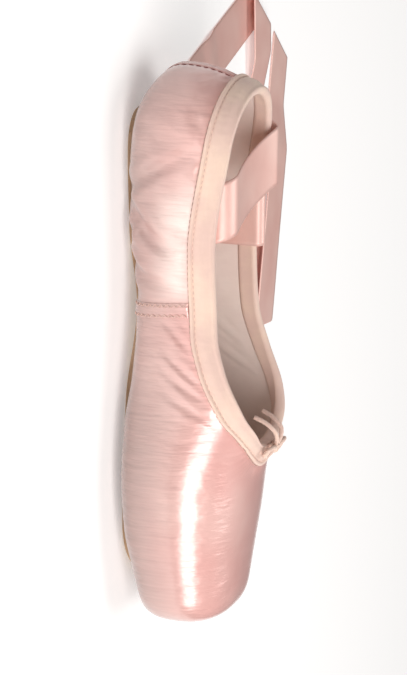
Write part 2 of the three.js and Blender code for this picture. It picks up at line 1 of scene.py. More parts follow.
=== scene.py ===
"""A pointe shoe in pink satin, standing empty on its sole with its ribbons laid out.

Sizes are millimetres on the last, with x from the back of the heel, and Last.world takes them to the
frame in metres. A place on the upper is given as round, millimetres round the shoe from the back seam,
and down, millimetres below the topline.
"""
import logging
import math
from dataclasses import dataclass, field
from enum import Enum
from typing import Any, Callable, Iterable, Optional, Sequence, Union

import bmesh
import bpy
import numpy as np
from mathutils import Matrix, Vector, noise


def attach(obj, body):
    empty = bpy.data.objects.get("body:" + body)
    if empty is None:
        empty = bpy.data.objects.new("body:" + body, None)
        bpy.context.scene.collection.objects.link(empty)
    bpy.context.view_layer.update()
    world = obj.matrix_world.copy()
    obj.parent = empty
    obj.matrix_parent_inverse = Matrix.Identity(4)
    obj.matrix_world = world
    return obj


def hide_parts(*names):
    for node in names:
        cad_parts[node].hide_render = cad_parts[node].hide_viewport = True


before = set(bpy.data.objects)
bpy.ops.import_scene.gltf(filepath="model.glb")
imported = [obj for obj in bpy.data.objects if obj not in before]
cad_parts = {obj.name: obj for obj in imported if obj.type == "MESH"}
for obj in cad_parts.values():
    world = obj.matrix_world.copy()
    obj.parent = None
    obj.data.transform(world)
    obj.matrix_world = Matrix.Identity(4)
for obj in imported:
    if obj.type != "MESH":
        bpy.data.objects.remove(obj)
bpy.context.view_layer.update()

LOG = logging.getLogger("pointe_shoe")
MM = 0.001
GAP = 0.3  # between curved pieces that meet
SUNK = 0.4  # how far a sewn band's back is let into the cloth
MERGED = 0.01  # points nearer than this are one
Array = np.ndarray
Colour = tuple[float, float, float]
Grain = tuple[float, float, float]
Zone = tuple[float, float]


class Side(Enum):
    """The shoe's two sides, by the sign of y."""

    INNER = -1
    OUTER = 1


class Slot(Enum):
    """Material slots of the part's record."""

    SATIN = "satin"
    RIBBON = "ribbon_satin"
    BINDING = "binding_cotton"
    LEATHER = "sole_leather"
    INSOLE = "insole_cotton"


# Small maths


def smooth_step(value: Array, start: float, end: float) -> Array:
    """Rises smoothly from 0 at start to 1 at end."""
    share = np.clip((value - start) / (end - start), 0.0, 1.0)
    return share * share * (3.0 - 2.0 * share)


def unit(vectors: Array) -> Array:
    """Vectors along the last axis, at length 1."""
    return vectors / np.maximum(np.linalg.norm(vectors, axis=-1, keepdims=True), 1e-12)


def bisect(test: Callable[[Array], Array], low: Array, high: Array, turns: int = 40) -> Array:
    """Closes in on where a test stops holding.

    Args:
        test: True on the low side.
        low: Values at which it holds.
        high: Values at which it doesn't.
        turns: Halvings.

    Returns:
        The values between.
    """
    for _ in range(turns):
        middle = (low + high) / 2
        holds = test(middle)
        low = np.where(holds, middle, low)
        high = np.where(holds, high, middle)
    return (low + high) / 2


def arc_lengths(points: Array) -> Array:
    """Distance run along a line of points, from 0."""
    steps = np.linalg.norm(np.diff(points, axis=-2), axis=-1)
    return np.concatenate([np.zeros_like(steps[..., :1]), np.cumsum(steps, axis=-1)], axis=-1)


def resample(points: Array, count: int) -> Array:
    """The same line with evenly spaced points.

    Args:
        points: The line.
        count: How many points it gets.

    Returns:
        Points on it, evenly spaced.
    """
    arcs = arc_lengths(points)
    wanted = np.linspace(0.0, arcs[-1], count)
    return np.stack([np.interp(wanted, arcs, points[:, k]) for k in range(points.shape[1])], axis=-1)


def rounded_path(corners: Sequence[Sequence[float]], count: int) -> Array:
    """A smooth line through given points.

    Args:
        corners: The points.
        count: How many points the line gets.

    Returns:
        Evenly spaced points of a Catmull-Rom curve.
    """
    knots = np.array(corners, float)
    padded = np.vstack([2 * knots[0] - knots[1], knots, 2 * knots[-1] - knots[-2]])
    pieces = []
    for i in range(len(knots) - 1):
        before, start, end, after = padded[i:i + 4]
        t = np.linspace(0.0, 1.0, 24, endpoint=i == len(knots) - 2)[:, None]
        pieces.append(0.5 * (2 * start + (end - before) * t
                             + (2 * before - 5 * start + 4 * end - after) * t ** 2
                             + (3 * start - before - 3 * end + after) * t ** 3))
    return resample(np.vstack(pieces), count)


class Curve:
    """Smooth curve through one column of a table, never overshooting a row."""

    def __init__(self, along: Sequence[float], values: Sequence[float]) -> None:
        """Works out the slope at each row.

        Args:
            along: Places of the rows, rising.
            values: The column's value at each row.
        """
        self.along = np.array(along, float)
        self.values = np.array(values, float)
        steps = np.diff(self.values) / np.diff(self.along)
        before = np.concatenate([steps[:1], steps])
        after = np.concatenate([steps, steps[-1:]])
        total = np.where(before * after > 0, before + after, 1.0)
        self.slopes = np.where(before * after > 0, 2 * before * after / total, 0.0)

    def __call__(self, at: Array) -> Array:
        """The curve's height at each place along the table.

        Args:
            at: Places along the table.

        Returns:
            The column's value at each.
        """
        x = np.clip(at, self.along[0], self.along[-1])
        i = np.clip(np.searchsorted(self.along, x, side="left") - 1, 0, len(self.along) - 2)
        span = self.along[i + 1] - self.along[i]
        t = (x - self.along[i]) / span
        rise = t * t * (3 - 2 * t)
        lead = t * (1 - t) ** 2 * span * self.slopes[i]
        trail = t * t * (1 - t) * span * self.slopes[i + 1]
        return self.values[i] * (1 - rise) + self.values[i + 1] * rise + lead - trail


@dataclass(frozen=True)
class End:
    """Rounded end of a form: how far it takes to reach full size, and how squarely."""

    reach: float
    square: float

    def share(self, distance: Array) -> Array:
        """Share of full size left at a distance from the end."""
        left = np.clip(1 - distance / self.reach, 0.0, 1.0)
        return np.maximum((1 - left ** self.square) ** (1 / self.square), 1e-4)


# The last, and the lines of the wall over it


@dataclass(frozen=True)
class LastRow:
    """One section of the last: along, width, widest and crown are shares of its driving sizes."""

    along: float
    width: float
    under: float
    widest: float
    crown: float
    low: float
    high: float


@dataclass
class Last:
    """The form that the shoe is made on."""

    length: float = 222.0
    ball_width: float = 77.0
    instep_height: float = 53.5
    hub_height: float = 20.0
    quarter_wall: float = 1.4
    box_wall: float = 2.8
    stiffened: tuple[float, float] = (118.0, 165.0)
    heel_plan: End = End(27.0, 2.1)
    heel_under: End = End(36.0, 2.1)
    heel_lean: End = End(92.0, 2.0)
    toe_edge: End = End(15.0, 3.3)
    rows: tuple[LastRow, ...] = (
        LastRow(0.00, 0.687, 2.4, 0.375, 1.620, 3.2, 2.20),
        LastRow(0.14, 0.700, 2.4, 0.360, 1.680, 3.6, 2.20),
        LastRow(0.27, 0.680, 2.7, 0.360, 1.640, 3.6, 2.20),
        LastRow(0.40, 0.672, 5.4, 0.390, 1.520, 3.6, 2.20),
        LastRow(0.53, 0.785, 4.8, 0.390, 1.300, 3.6, 2.20),
        LastRow(0.63, 0.925, 2.7, 0.385, 1.090, 3.8, 2.25),
        LastRow(0.72, 1.000, 2.4, 0.385, 0.965, 3.8, 2.30),
        LastRow(0.81, 0.960, 2.8, 0.390, 0.915, 3.6, 2.35),
        LastRow(0.90, 0.845, 4.8, 0.410, 0.860, 3.0, 2.40),
        LastRow(1.00, 0.690, 7.6, 0.450, 0.805, 2.6, 2.50),
    )

    def __post_init__(self) -> None:
        """Samples every section measure closely along the last."""
        along = [row.along for row in self.rows]
        column = {name: Curve(along, [getattr(row, name) for row in self.rows])
                  for name in ("width", "under", "widest", "crown", "low", "high")}
        self.stations = np.linspace(0.0, self.length, 4 * int(self.length) + 1)
        share = self.stations / self.length
        toe = self.toe_edge.share(self.length - self.stations)
        widest = column["widest"](share) * self.instep_height
        crown = column["crown"](share) * self.instep_height
        self.measures = {
            "half": column["width"](share) * self.ball_width / 2 * self.heel_plan.share(self.stations) * toe,
            "widest": widest,
            "below": (widest - column["under"](share)) * self.heel_under.share(self.stations) * toe,
            "above": (crown - widest) * self.heel_lean.share(self.stations) * toe,
            "low": column["low"](share),
            "high": column["high"](share),
        }

    def measure(self, name: str, x: Array) -> Array:
        """One section measure at each x."""
        return np.interp(x, self.stations, self.measures[name])

    def field(self, points: Array) -> Array:
        """Below zero inside the last, zero on its surface, above zero outside.

        Args:
            points: Points, with x, y and z on the last axis.

        Returns:
            The value at each point.
        """
        x, y, z = points[..., 0], points[..., 1], points[..., 2]
        up = z - self.measure("widest", x)
        square = np.where(up > 0, self.measure("high", x), self.measure("low", x))
        reach = np.where(up > 0, self.measure("above", x), self.measure("below", x))
        value = (np.abs(y) / self.measure("half", x)) ** square + (np.abs(up) / reach) ** square
        value = np.minimum(value ** (1 / square) - 1, 1e3)
        return np.where((x <= 0) | (x >= self.length), 1e3, value)

    def normal(self, points: Array, step: float = 0.05) -> Array:
        """Outward direction at points on the surface.

        Args:
            points: Points on the surface.
            step: Half the span that the slope is taken over.

        Returns:
            Unit vectors.
        """
        slopes = []
        for axis in np.eye(3) * step:
            slopes.append(self.field(points + axis) - self.field(points - axis))
        return unit(np.stack(slopes, axis=-1))

    def cast(self, hub: Array, turn: Array, tilt: Array) -> Array:
        """Surface points along rays from the last's spine.

        Args:
            hub: Where each ray starts on the spine.
            turn: Its bearing in plan.
            tilt: Its rise.

        Returns:
            Points, with x, y and z on the last axis.
        """
        hub, turn, tilt = np.broadcast_arrays(hub, turn, tilt)
        start = np.stack([hub, np.zeros_like(hub), np.full_like(hub, self.hub_height)], axis=-1)
        way = np.stack([np.cos(turn) * np.cos(tilt), np.sin(turn) * np.cos(tilt), np.sin(tilt)], axis=-1)
        far = bisect(lambda d: self.field(start + way * d[..., None]) < 0,
                     np.zeros_like(tilt), np.full_like(tilt, 160.0))
        return start + way * far[..., None]

    def bottom(self, x: Array, y: Array) -> Array:
        """Height of the last's underside at a place in plan.

        Args:
            x: Distance from the back of the heel.
            y: Distance from the middle.

        Returns:
            Heights.
        """
        low = self.measure("low", x)
        share = np.minimum(np.abs(y) / self.measure("half", x), 1.0)
        return self.measure("widest", x) - self.measure("below", x) * (1 - share ** low) ** (1 / low)

    def wall(self, x: Array) -> Array:
        """Thickness of the upper's wall."""
        return self.quarter_wall + (self.box_wall - self.quarter_wall) * smooth_step(x, *self.stiffened)

    def world(self, points: Array) -> Array:
        """Points on the last, in millimetres, as places in the frame, in metres."""
        return (points - np.array([self.length / 2, 0.0, 0.0])) * MM


@dataclass(frozen=True)
class SoleRow:
    """One station of the outsole: half its width and the height of its underside."""

    along: float
    half: float
    tread: float


@dataclass
class SolePattern:
    """Outline of the outsole, and of the lasted edge that it covers."""

    last: Last
    start: float = 18.0
    end: float = 206.0
    ends: End = End(15.0, 2.2)
    margin: float = 5.0
    rows: tuple[SoleRow, ...] = (
        SoleRow(0.00, 11.6, 0.5),
        SoleRow(0.09, 12.2, 0.0),
        SoleRow(0.17, 12.4, 0.0),
        SoleRow(0.28, 10.8, 0.0),
        SoleRow(0.43, 9.8, 3.0),
        SoleRow(0.60, 14.0, 0.0),
        SoleRow(0.72, 17.8, 0.0),
        SoleRow(0.83, 17.4, 0.0),
        SoleRow(0.93, 14.4, 2.4),
    )

    def __post_init__(self) -> None:
        """Draws the two curves through the table."""
        along = [row.along for row in self.rows]
        self.half_curve = Curve(along, [row.half for row in self.rows])
        self.tread_curve = Curve(along, [row.tread for row in self.rows])

    def half(self, x: Array) -> Array:
        """Half the sole's width at each x."""
        width = self.half_curve(x / self.last.length)
        return width * self.ends.share(x - self.start) * self.ends.share(self.end - x)

    def tread(self, x: Array) -> Array:
        """Height of the sole's underside at each x."""
        return self.tread_curve(x / self.last.length)

    def covers(self, points: Array) -> Array:
        """Whether the sole covers the lasted edge here, its margin taken off.

        Args:
            points: Points, with x, y and z on the last axis.

        Returns:
            True where the sole covers them.
        """
        x = points[..., 0]
        start, end = self.start + self.margin, self.end - self.margin
        ends = End(self.ends.reach - self.margin, self.ends.square)
        half = self.half_curve(x / self.last.length) - self.margin
        half = half * ends.share(x - start) * ends.share(end - x)
        return (x > start) & (x < end) & (np.abs(points[..., 1]) < half)


@dataclass
class Topline:
    """The upper's top edge seen from the side: along the last, and in shares of the heel's height."""

    last: Last
    heel_height: float = 48.0
    along: tuple[float, ...] = (0.0, 0.035, 0.14, 0.31, 0.45, 0.52, 0.595, 0.644, 0.69, 0.77)
    share: tuple[float, ...] = (1.02, 1.00, 0.925, 0.815, 0.845, 0.93, 1.075, 1.14, 1.14, 1.22)

    def height(self, x: Array) -> Array:
        """Height of the edge at each x."""
        return Curve(self.along, self.share)(x / self.last.length) * self.heel_height


class Wall:
    """Lines down the outside of the upper, from the topline in to the lasted edge."""

    def __init__(self, last: Last, sole: SolePattern, topline: Topline, hub: Array, turn: Array) -> None:
        """Finds each line's two ends and measures it.

        Args:
            last: The form under the wall.
            sole: What the lasted edge stops under.
            topline: The edge that it starts from.
            hub: Where each line's rays start on the spine.
            turn: Their bearing in plan.
        """
        self.last, self.hub, self.turn = last, hub[:, None], turn[:, None]
        ones = np.ones((len(hub), 1))

        def below_topline(tilt: Array) -> Array:
            """Whether the surface at a tilt is below the topline."""
            at = self.cast(tilt)
            return at[..., 2] < topline.height(at[..., 0])

        top = bisect(below_topline, -0.3 * ones, math.radians(89) * ones)
        edge = bisect(lambda tilt: ~sole.covers(self.cast(tilt)), -0.05 * ones, math.radians(-89.9) * ones)
        share = np.linspace(0.0, 1.0, 151)
        self.tilts = top + (edge - top) * share
        points = self.cast(self.tilts)
        self.arcs = arc_lengths(points)
        self.length = self.arcs[:, -1]
        self.rise = unit(points[:, 0] - points[:, 1])

    def cast(self, tilt: Array) -> Array:
        """Surface points at tilts, one row for each line."""
        return self.last.cast(self.hub, self.turn, tilt)

    def at(self, arcs: Array) -> Array:
        """Points on the outside at distances down each line.

        Args:
            arcs: Distances below the topline, in mm.

        Returns:
            Points, by line and distance.
        """
        rows = np.broadcast_to(arcs, (len(self.hub), np.shape(arcs)[-1]))
        tilt = [np.interp(row, self.arcs[i], self.tilts[i]) for i, row in enumerate(rows)]
        return self.cast(np.array(tilt))

    def off(self, arcs: Array, distance: float) -> Array:
        """Points off the outside, or, where distance is below zero, that far in from the lining.

        Args:
            arcs: Distances below the topline, in mm.
            distance: How far off, in mm.

        Returns:
            Points, by line and distance.
        """
        points = self.at(arcs)
        inward = self.last.wall(points[..., 0]) if distance < 0 else np.zeros(points.shape[:-1])
        return points + self.last.normal(points) * (distance - inward)[..., None]


# Mesh helpers


def grid(points: Array, wide: Optional[Array] = None, deep: Optional[Array] = None) -> bmesh.types.BMesh:
    """A grid operator's mesh, shaped to an array of places.

    Args:
        points: Places in metres, by column and row.
        wide: First map coordinate of each place, if it is mapped.
        deep: Second map coordinate.

    Returns:
        The shaped mesh, with its doubles merged.
    """
    columns, rows = points.shape[:2]
    mesh = bmesh.new()
    bmesh.ops.create_grid(mesh, x_segments=columns - 1, y_segments=rows - 1, size=1.0)
    places = {}
    for vert in mesh.verts:
        column = round((vert.co.x + 1) / 2 * (columns - 1))
        row = round((vert.co.y + 1) / 2 * (rows - 1))
        places[vert.index] = (column, row)
        vert.co = Vector(points[column, row])
    if wide is not None:
        layer = mesh.loops.layers.uv.new("cloth")
        for face in mesh.faces:
            for loop in face.loops:
                column, row = places[loop.vert.index]
                loop[layer].uv = (wide[column, row], deep[column, row])
    bmesh.ops.remove_doubles(mesh, verts=mesh.verts, dist=1e-7)
    return mesh


def close(mesh: bmesh.types.BMesh) -> bmesh.types.BMesh:
    """Fills a mesh's open ends and turns its faces out.

    Args:
        mesh: A mesh with open ends.

    Returns:
        The same mesh.
    """
    bmesh.ops.holes_fill(mesh, edges=[edge for edge in mesh.edges if edge.is_boundary], sides=0)
    bmesh.ops.recalc_face_normals(mesh, faces=mesh.faces)
    return mesh


def strip(face: Array, back: Array) -> bmesh.types.BMesh:
    """A closed band between its face and its back, both in metres by row and place across."""
    return close(grid(np.concatenate([face, back[:, ::-1], face[:, :1]], axis=1)))


def publish(mesh: bmesh.types.BMesh, name: str, finishes: Sequence[bpy.types.Material],
            stands_for: Iterable[str] = ()) -> bpy.types.Object:
    """Makes a finished mesh a piece of the shoe.

    Args:
        mesh: The mesh, used up here.
        name: The piece's name.
        finishes: Its materials, in the order of the faces' indices.
        stands_for: Nodes of the frame that it replaces.

    Returns:
        The piece's object.
    """
    for face in mesh.faces:
        face.smooth = True
    data = bpy.data.meshes.new(name)
    mesh.to_mesh(data)
    mesh.free()
    for finish in finishes:
        data.materials.append(finish)
    piece = bpy.data.objects.new(name, data)
    bpy.context.scene.collection.objects.link(piece)
    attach(piece, "root")
    if stands_for:
        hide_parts(*stands_for)
    LOG.info("%s: %d faces", name, len(data.polygons))
    return piece


def tube(path: Array, radius: float, sides: int, plies: int, turns: float, closed: bool) -> bmesh.types.BMesh:
    """A twisted cord along a path.

    Args:
        path: Centre points in metres.
        radius: The cord's radius in metres.
        sides: Points round it.
        plies: Strands that its outline shows.
        turns: Turns of its twist from end to end.
        closed: Whether the path joins itself.

    Returns:
        The closed mesh, facing out.
    """
    ahead = np.gradient(path, axis=0)
    if closed:
        ahead[0] = ahead[-1] = path[1] - path[-2]
    ahead = unit(ahead)
    across = np.zeros_like(path)
    across[0] = unit(np.cross(ahead[0], [0.31, 0.22, 0.93]))
    for i in range(1, len(path)):
        across[i] = unit(across[i - 1] - ahead[i] * np.dot(across[i - 1], ahead[i]))
    third = np.cross(ahead, across)
    angle = np.linspace(0.0, 2 * math.pi, sides + 1)
    share = arc_lengths(path)[:, None] / arc_lengths(path)[-1]
    size = radius * (0.94 + 0.1 * np.abs(np.cos(plies * (angle - 2 * math.pi * turns * share) / 2)))
    points = path[:, None] + size[..., None] * (np.cos(angle)[:, None] * across[:, None]
                                                + np.sin(angle)[:, None] * third[:, None])
    if closed:
        points[-1] = points[0]
    return close(grid(points, angle[None, :] * radius + 0 * share, share + 0 * angle[None, :]))


# Shaders


class Value:
    """A shader value. Operators on it add Math nodes."""

    def __init__(self, shader: "Shader", socket: bpy.types.NodeSocket) -> None:
        """Wraps one output socket."""
        self.shader, self.socket = shader, socket

    def _math(self, operation: str, first: "Number", second: "Number") -> "Value":
        """Adds one Math node."""
        node = self.shader.node("ShaderNodeMath", {"operation": operation}, {0: first, 1: second})
        return Value(self.shader, node.outputs[0])

    def __add__(self, other: "Number") -> "Value":
        """Sum."""
        return self._math("ADD", self, other)

    def __radd__(self, other: float) -> "Value":
        """Sum, with a number first."""
        return self._math("ADD", other, self)

    def __sub__(self, other: "Number") -> "Value":
        """Difference."""
        return self._math("SUBTRACT", self, other)

    def __rsub__(self, other: float) -> "Value":
        """Difference, with a number first."""
        return self._math("SUBTRACT", other, self)

    def __mul__(self, other: "Number") -> "Value":
        """Product."""
        return self._math("MULTIPLY", self, other)

    def __rmul__(self, other: float) -> "Value":
        """Product, with a number first."""
        return self._math("MULTIPLY", other, self)

    def __pow__(self, other: "Number") -> "Value":
        """Power."""
        return self._math("POWER", self, other)

    def between(self, low: float, high: float) -> "Value":
        """Rises smoothly from 0 at low to 1 at high.

        Args:
            low: Value that gives 0.
            high: Value that gives 1.

        Returns:
            The share.
        """
        node = self.shader.node("ShaderNodeMapRange", {"interpolation_type": "SMOOTHSTEP"},
                                {0: self, 1: low, 2: high, 3: 0.0, 4: 1.0})
        return Value(self.shader, node.outputs[0])

    def sine(self) -> "Value":
        """Sine of the value in radians."""
        return self._math("SINE", self, 0.0)


Number = Union[Value, float]


class Shader:
    """Node tree of one material, round a Principled shader."""

    def __init__(self, name: str, **constants: Any) -> None:
        """Starts a material.

        Args:
            name: The material's name.
            constants: Values of the shader's own sockets, spaces written as underscores.
        """
        self.material = bpy.data.materials.new(name)
        self.material.use_nodes = True
        self.tree = self.material.node_tree
        self.tree.nodes.clear()
        output = self.tree.nodes.new("ShaderNodeOutputMaterial")
        self.body = self.tree.nodes.new("ShaderNodeBsdfPrincipled")
        self.tree.links.new(self.body.outputs[0], output.inputs[0])
        for socket, value in constants.items():
            self.body.inputs[socket.replace("_", " ")].default_value = value

    def node(self, kind: str, settings: dict[str, Any], inputs: dict[Any, Any]) -> bpy.types.Node:
        """Adds a node.

        Args:
            kind: The node's type.
            settings: Its properties, set first.
            inputs: Values or links of its sockets, by name or number.

        Returns:
            The node.
        """
        made = self.tree.nodes.new(kind)
        for name, value in settings.items():
            setattr(made, name, value)
        for key, value in inputs.items():
            if isinstance(value, Value):
                self.tree.links.new(value.socket, made.inputs[key])
            elif isinstance(value, bpy.types.NodeSocket):
                self.tree.links.new(value, made.inputs[key])
            else:
                made.inputs[key].default_value = value
        return made

    def place(self, scale: Sequence[float], turn: Sequence[float] = (0.0, 0.0, 0.0),
              source: str = "Object") -> bpy.types.NodeSocket:
        """Coordinates for a pattern.

        Args:
            scale: Repeats per metre along each axis.
            turn: Turn about each axis, in radians.
            source: Object, or UV for a mapped piece.

        Returns:
            The socket with the coordinates.
        """
        origin = self.node("ShaderNodeTexCoord", {}, {}).outputs[source]
        return self.node("ShaderNodeMapping", {}, {0: origin, 2: turn, 3: scale}).outputs[0]

    def axis(self, which: str, scale: float = 1.0, source: str = "Object") -> Value:
        """One coordinate, times scale."""
        split = self.node("ShaderNodeSeparateXYZ", {}, {0: self.place((scale,) * 3, source=source)})
        return Value(self, split.outputs[which])

    def noise(self, place: bpy.types.NodeSocket, detail: float = 2.0, rough: float = 0.5) -> Value:
        """Noise about 0.5 at the pattern coordinates.

        Args:
            place: Pattern coordinates.
            detail: Finer layers of noise.
            rough: How strong they are.

        Returns:
            The noise.
        """
        made = self.node("ShaderNodeTexNoise", {}, {"Vector": place, "Scale": 1.0, "Detail": detail,
                                                    "Roughness": rough})
        return Value(self, made.outputs[0])

    def mix(self, factor: Number, first: Any, second: Any) -> bpy.types.NodeSocket:
        """Colour between two colours.

        Args:
            factor: Share of the second colour.
            first: A colour, or a socket that gives one.
            second: A colour, or a socket that gives one.

        Returns:
            The socket of the mixed colour.
        """
        made = self.node("ShaderNodeMix", {"data_type": "RGBA"}, {"Factor": factor})
        for socket, value in zip((made.inputs[6], made.inputs[7]), (first, second)):
            if isinstance(value, bpy.types.NodeSocket):
                self.tree.links.new(value, socket)
            else:
                socket.default_value = (*value, 1.0)
        return made.outputs[2]

    def feed(self, socket: str, value: Any) -> None:
        """Links something that varies to a socket of the shader."""
        source = value.socket if isinstance(value, Value) else value
        self.tree.links.new(source, self.body.inputs[socket])

    def bump(self, height: Value, depth: float, strength: float = 1.0) -> None:
        """Raises the surface by height, depth metres at 1."""
        made = self.node("ShaderNodeBump", {}, {"Height": height, "Distance": depth, "Strength": strength})
        self.feed("Normal", made.outputs[0])


@dataclass(frozen=True)
class Satin:
    """Slippery cloth whose long floats catch the light in streaks.

    On the upper, which isn't mapped, light and shade are painted into the tone: painted shade darkens and
    greys it near the sole and darkens it further along the vamp's lower side, and a painted highlight makes
    it pale beside the binding of the quarters. Brush strokes and ripples break its gloss below the taut top
    of the box. Zones are ranges in metres along one axis, over which an effect comes in.
    """

    name: str
    rose: Colour
    pale: Colour
    roughness: float
    metal: float
    coat: float = 0.9
    across: float = 1.0 / 0.0009
    along: float = 1.0 / 0.026
    mapped: bool = False
    streak_depth: float = 0.00006
    cloud_grain: Grain = (28.0, 36.0, 36.0)
    # Painted shade: a darker, greyer tone low on the upper, near the sole, fading out with height.
    low_painted_shade: Colour = (0.36, 0.275, 0.25)
    low_painted_shade_share: float = 0.8
    low_painted_shade_zone: Zone = (0.002, 0.042)
    # Deeper painted shade along the vamp's lower side.
    shade: Colour = (0.22, 0.14, 0.12)
    shade_share: float = 0.55
    vamp_zone: Zone = (0.0, 0.03)
    # Painted highlight: a pale patch beside the binding of the quarters.
    painted_highlight: Colour = (0.98, 0.81, 0.74)
    painted_highlight_share: float = 0.95
    painted_highlight_start: Zone = (-0.078, -0.052)
    painted_highlight_end: Zone = (-0.03, -0.018)
    painted_highlight_height: Zone = (0.014, 0.028)
    brush_grain: Grain = (420.0, 70.0, 70.0)
    brush_depth: float = 0.0006
    ripple_grain: Grain = (140.0, 95.0, 95.0)
    ripple_depth: float = 0.0009
    taut_zone: Zone = (0.041, 0.049)
    taut_share: float = 0.85

    def upper_tone(self, shader: Shader, tone: bpy.types.NodeSocket, cloud: Value) -> bpy.types.NodeSocket:
        """The tone with painted shade near the sole and along the vamp, and a painted highlight on the
        quarters.

        Args:
            shader: The material in the making.
            tone: The colour so far.
            cloud: Broad noise that breaks up the painted highlight.

        Returns:
            The socket of the new colour.
        """
        x, z = shader.axis("X"), shader.axis("Z")
        # Painted shade: darker and greyer low on the upper, fading out with height.
        low = 1.0 - z.between(*self.low_painted_shade_zone)
        tone = shader.mix(low * self.low_painted_shade_share, tone, self.low_painted_shade)
        # Deeper painted shade along the vamp's lower side.
        tone = shader.mix(low * x.between(*self.vamp_zone) * self.shade_share, tone, self.shade)
        # Painted highlight: a pale patch beside the binding of the quarters, broken up by the cloud.
        painted_highlight_mask = x.between(*self.painted_highlight_start) * (1.0 - x.between(*self.painted_highlight_end))
        painted_highlight_mask = painted_highlight_mask * z.between(*self.painted_highlight_height) * cloud.between(0.25, 0.55)
        return shader.mix(painted_highlight_mask * self.painted_highlight_share, tone, self.painted_highlight)

    def upper_height(self, shader: Shader) -> Value:
        """Brush strokes and ripples of the upper, in metres.

        Args:
            shader: The material in the making.

        Returns:
            Height for the bump.
        """
        brush = shader.noise(shader.place(self.brush_grain), 2.0, 0.55)
        ripple = shader.noise(shader.place(self.ripple_grain), 2.0)
        slack = 1.0 - shader.axis("Z").between(*self.taut_zone) * self.taut_share
        return (brush * self.brush_depth + ripple * self.ripple_depth) * slack

    def material(self) -> bpy.types.Material:
        """Builds the material.

        Returns:
            The material.
        """
        shader = Shader(self.name, Metallic=self.metal, Specular_IOR_Level=0.6, Coat_Weight=self.coat,
                        Coat_Roughness=0.22, Coat_IOR=1.7, Sheen_Weight=0.05, Sheen_Roughness=0.35)
        source = "UV" if self.mapped else "Object"
        fine_grain = (self.across, self.along, self.along)
        broad_grain = (self.across / 5, self.along / 1.6, self.along / 1.6)
        fine = shader.noise(shader.place(fine_grain, source=source), 3.0, 0.6)
        broad = shader.noise(shader.place(broad_grain, source=source))
        cloud = shader.noise(shader.place(self.cloud_grain), 2.0)
        streak = fine * 0.6 + broad * 0.4
        tone = shader.mix(cloud.between(0.3, 0.7), self.rose, self.pale)
        height = streak * self.streak_depth
        if not self.mapped:
            # Painted shade and a painted highlight go into the upper's tone here.
            tone = self.upper_tone(shader, tone, cloud)
            height = height + self.upper_height(shader)
        shader.feed("Base Color", shader.mix(streak.between(0.35, 0.7) * 0.16, tone, self.pale))
        shader.feed("Roughness", self.roughness - 0.13 + streak * 0.26)
        shader.bump(height, 1.0)
        return shader.material


@dataclass(frozen=True)
class Cotton:
    """Plain woven cotton, as in the binding, lining, drawstring and insole."""

    name: str
    base: Colour
    warm: Colour
    roughness: float
    thread: float = 0.00042
    depth: float = 0.00009

    def material(self) -> bpy.types.Material:
        """Builds the material.

        Returns:
            The material.
        """
        shader = Shader(self.name, Sheen_Weight=0.25, Sheen_Roughness=0.6, Specular_IOR_Level=0.25)
        turn = 2 * math.pi / self.thread
        warp = (shader.axis("X", turn) + shader.axis("Z", turn * 0.35)).sine()
        weft = (shader.axis("Y", turn) + shader.axis("Z", turn * 0.94)).sine()
        weave = warp * weft * 0.5 + 0.5
        slub = shader.noise(shader.place((900.0, 240.0, 240.0)), 3.0)
        cloud = shader.noise(shader.place((60.0, 60.0, 60.0)), 3.0)
        tone = shader.mix(cloud.between(0.32, 0.68), self.base, self.warm)
        dark = tuple(channel * 0.8 for channel in self.base)
        shader.feed("Base Color", shader.mix((1.0 - weave) * slub * 0.45, tone, dark))
        shader.feed("Roughness", self.roughness - 0.06 + slub * 0.12)
        shader.bump(weave * 0.7 + slub * 0.5, self.depth)
        return shader.material


@dataclass(frozen=True)
class Leather:
    """Suede-faced sole leather, a little scored."""

    name: str = "sole_leather"
    base: Colour = (0.50, 0.32, 0.19)
    pale: Colour = (0.66, 0.47, 0.31)

    def material(self) -> bpy.types.Material:
        """Builds the material.

        Returns:
            The material.
        """
        shader = Shader(self.name, Specular_IOR_Level=0.3, Sheen_Weight=0.2, Sheen_Roughness=0.5)
        nap = shader.noise(shader.place((1500.0, 1500.0, 1500.0)), 4.0, 0.65)
        cloud = shader.noise(shader.place((45.0, 70.0, 70.0)), 3.0)
        scores = shader.noise(shader.place((90.0, 1400.0, 300.0), (0.0, 0.0, 0.5)), 1.0).between(0.62, 0.72)
        tone = shader.mix(cloud.between(0.3, 0.7), self.base, self.pale)
        shader.feed("Base Color", shader.mix(scores * 0.5, tone, (0.34, 0.21, 0.12)))
        shader.feed("Roughness", 0.68 + nap * 0.2)
        shader.bump(nap * 0.6 - scores, 0.00015)
        return shader.material


@dataclass(frozen=True)
class Thread:
    """Sewing thread, twisted."""

    name: str
    base: Colour
    roughness: float = 0.55

    def material(self) -> bpy.types.Material:
        """Builds the material.

        Returns:
            The material.
        """
        shader = Shader(self.name, Sheen_Weight=0.2, Specular_IOR_Level=0.4)
        ply = shader.noise(shader.place((2600.0, 2600.0, 2600.0)), 2.0)
        shader.feed("Base Color", shader.mix(ply, self.base, tuple(channel * 0.72 for channel in self.base)))
        shader.feed("Roughness", self.roughness + ply * 0.2)
        shader.bump(ply, 0.00008)
        return shader.material


@dataclass(frozen=True)
class StudioFloor:
    """Pale matt floor."""

    name: str = "studio_floor"
    base: Colour = (0.90, 0.89, 0.885)

    def material(self) -> bpy.types.Material:
        """Builds the material.

        Returns:
            The material.
        """
        shader = Shader(self.name, Specular_IOR_Level=0.15, Emission_Color=(1.0, 1.0, 1.0, 1.0),
                        Emission_Strength=0.27)
        cloud = shader.noise(shader.place((9.0, 9.0, 9.0)), 4.0)
        shader.feed("Base Color", shader.mix(cloud * 0.25, self.base, (0.86, 0.85, 0.845)))
        shader.feed("Roughness", 0.75 + cloud * 0.1)
        return shader.material


# Stitching


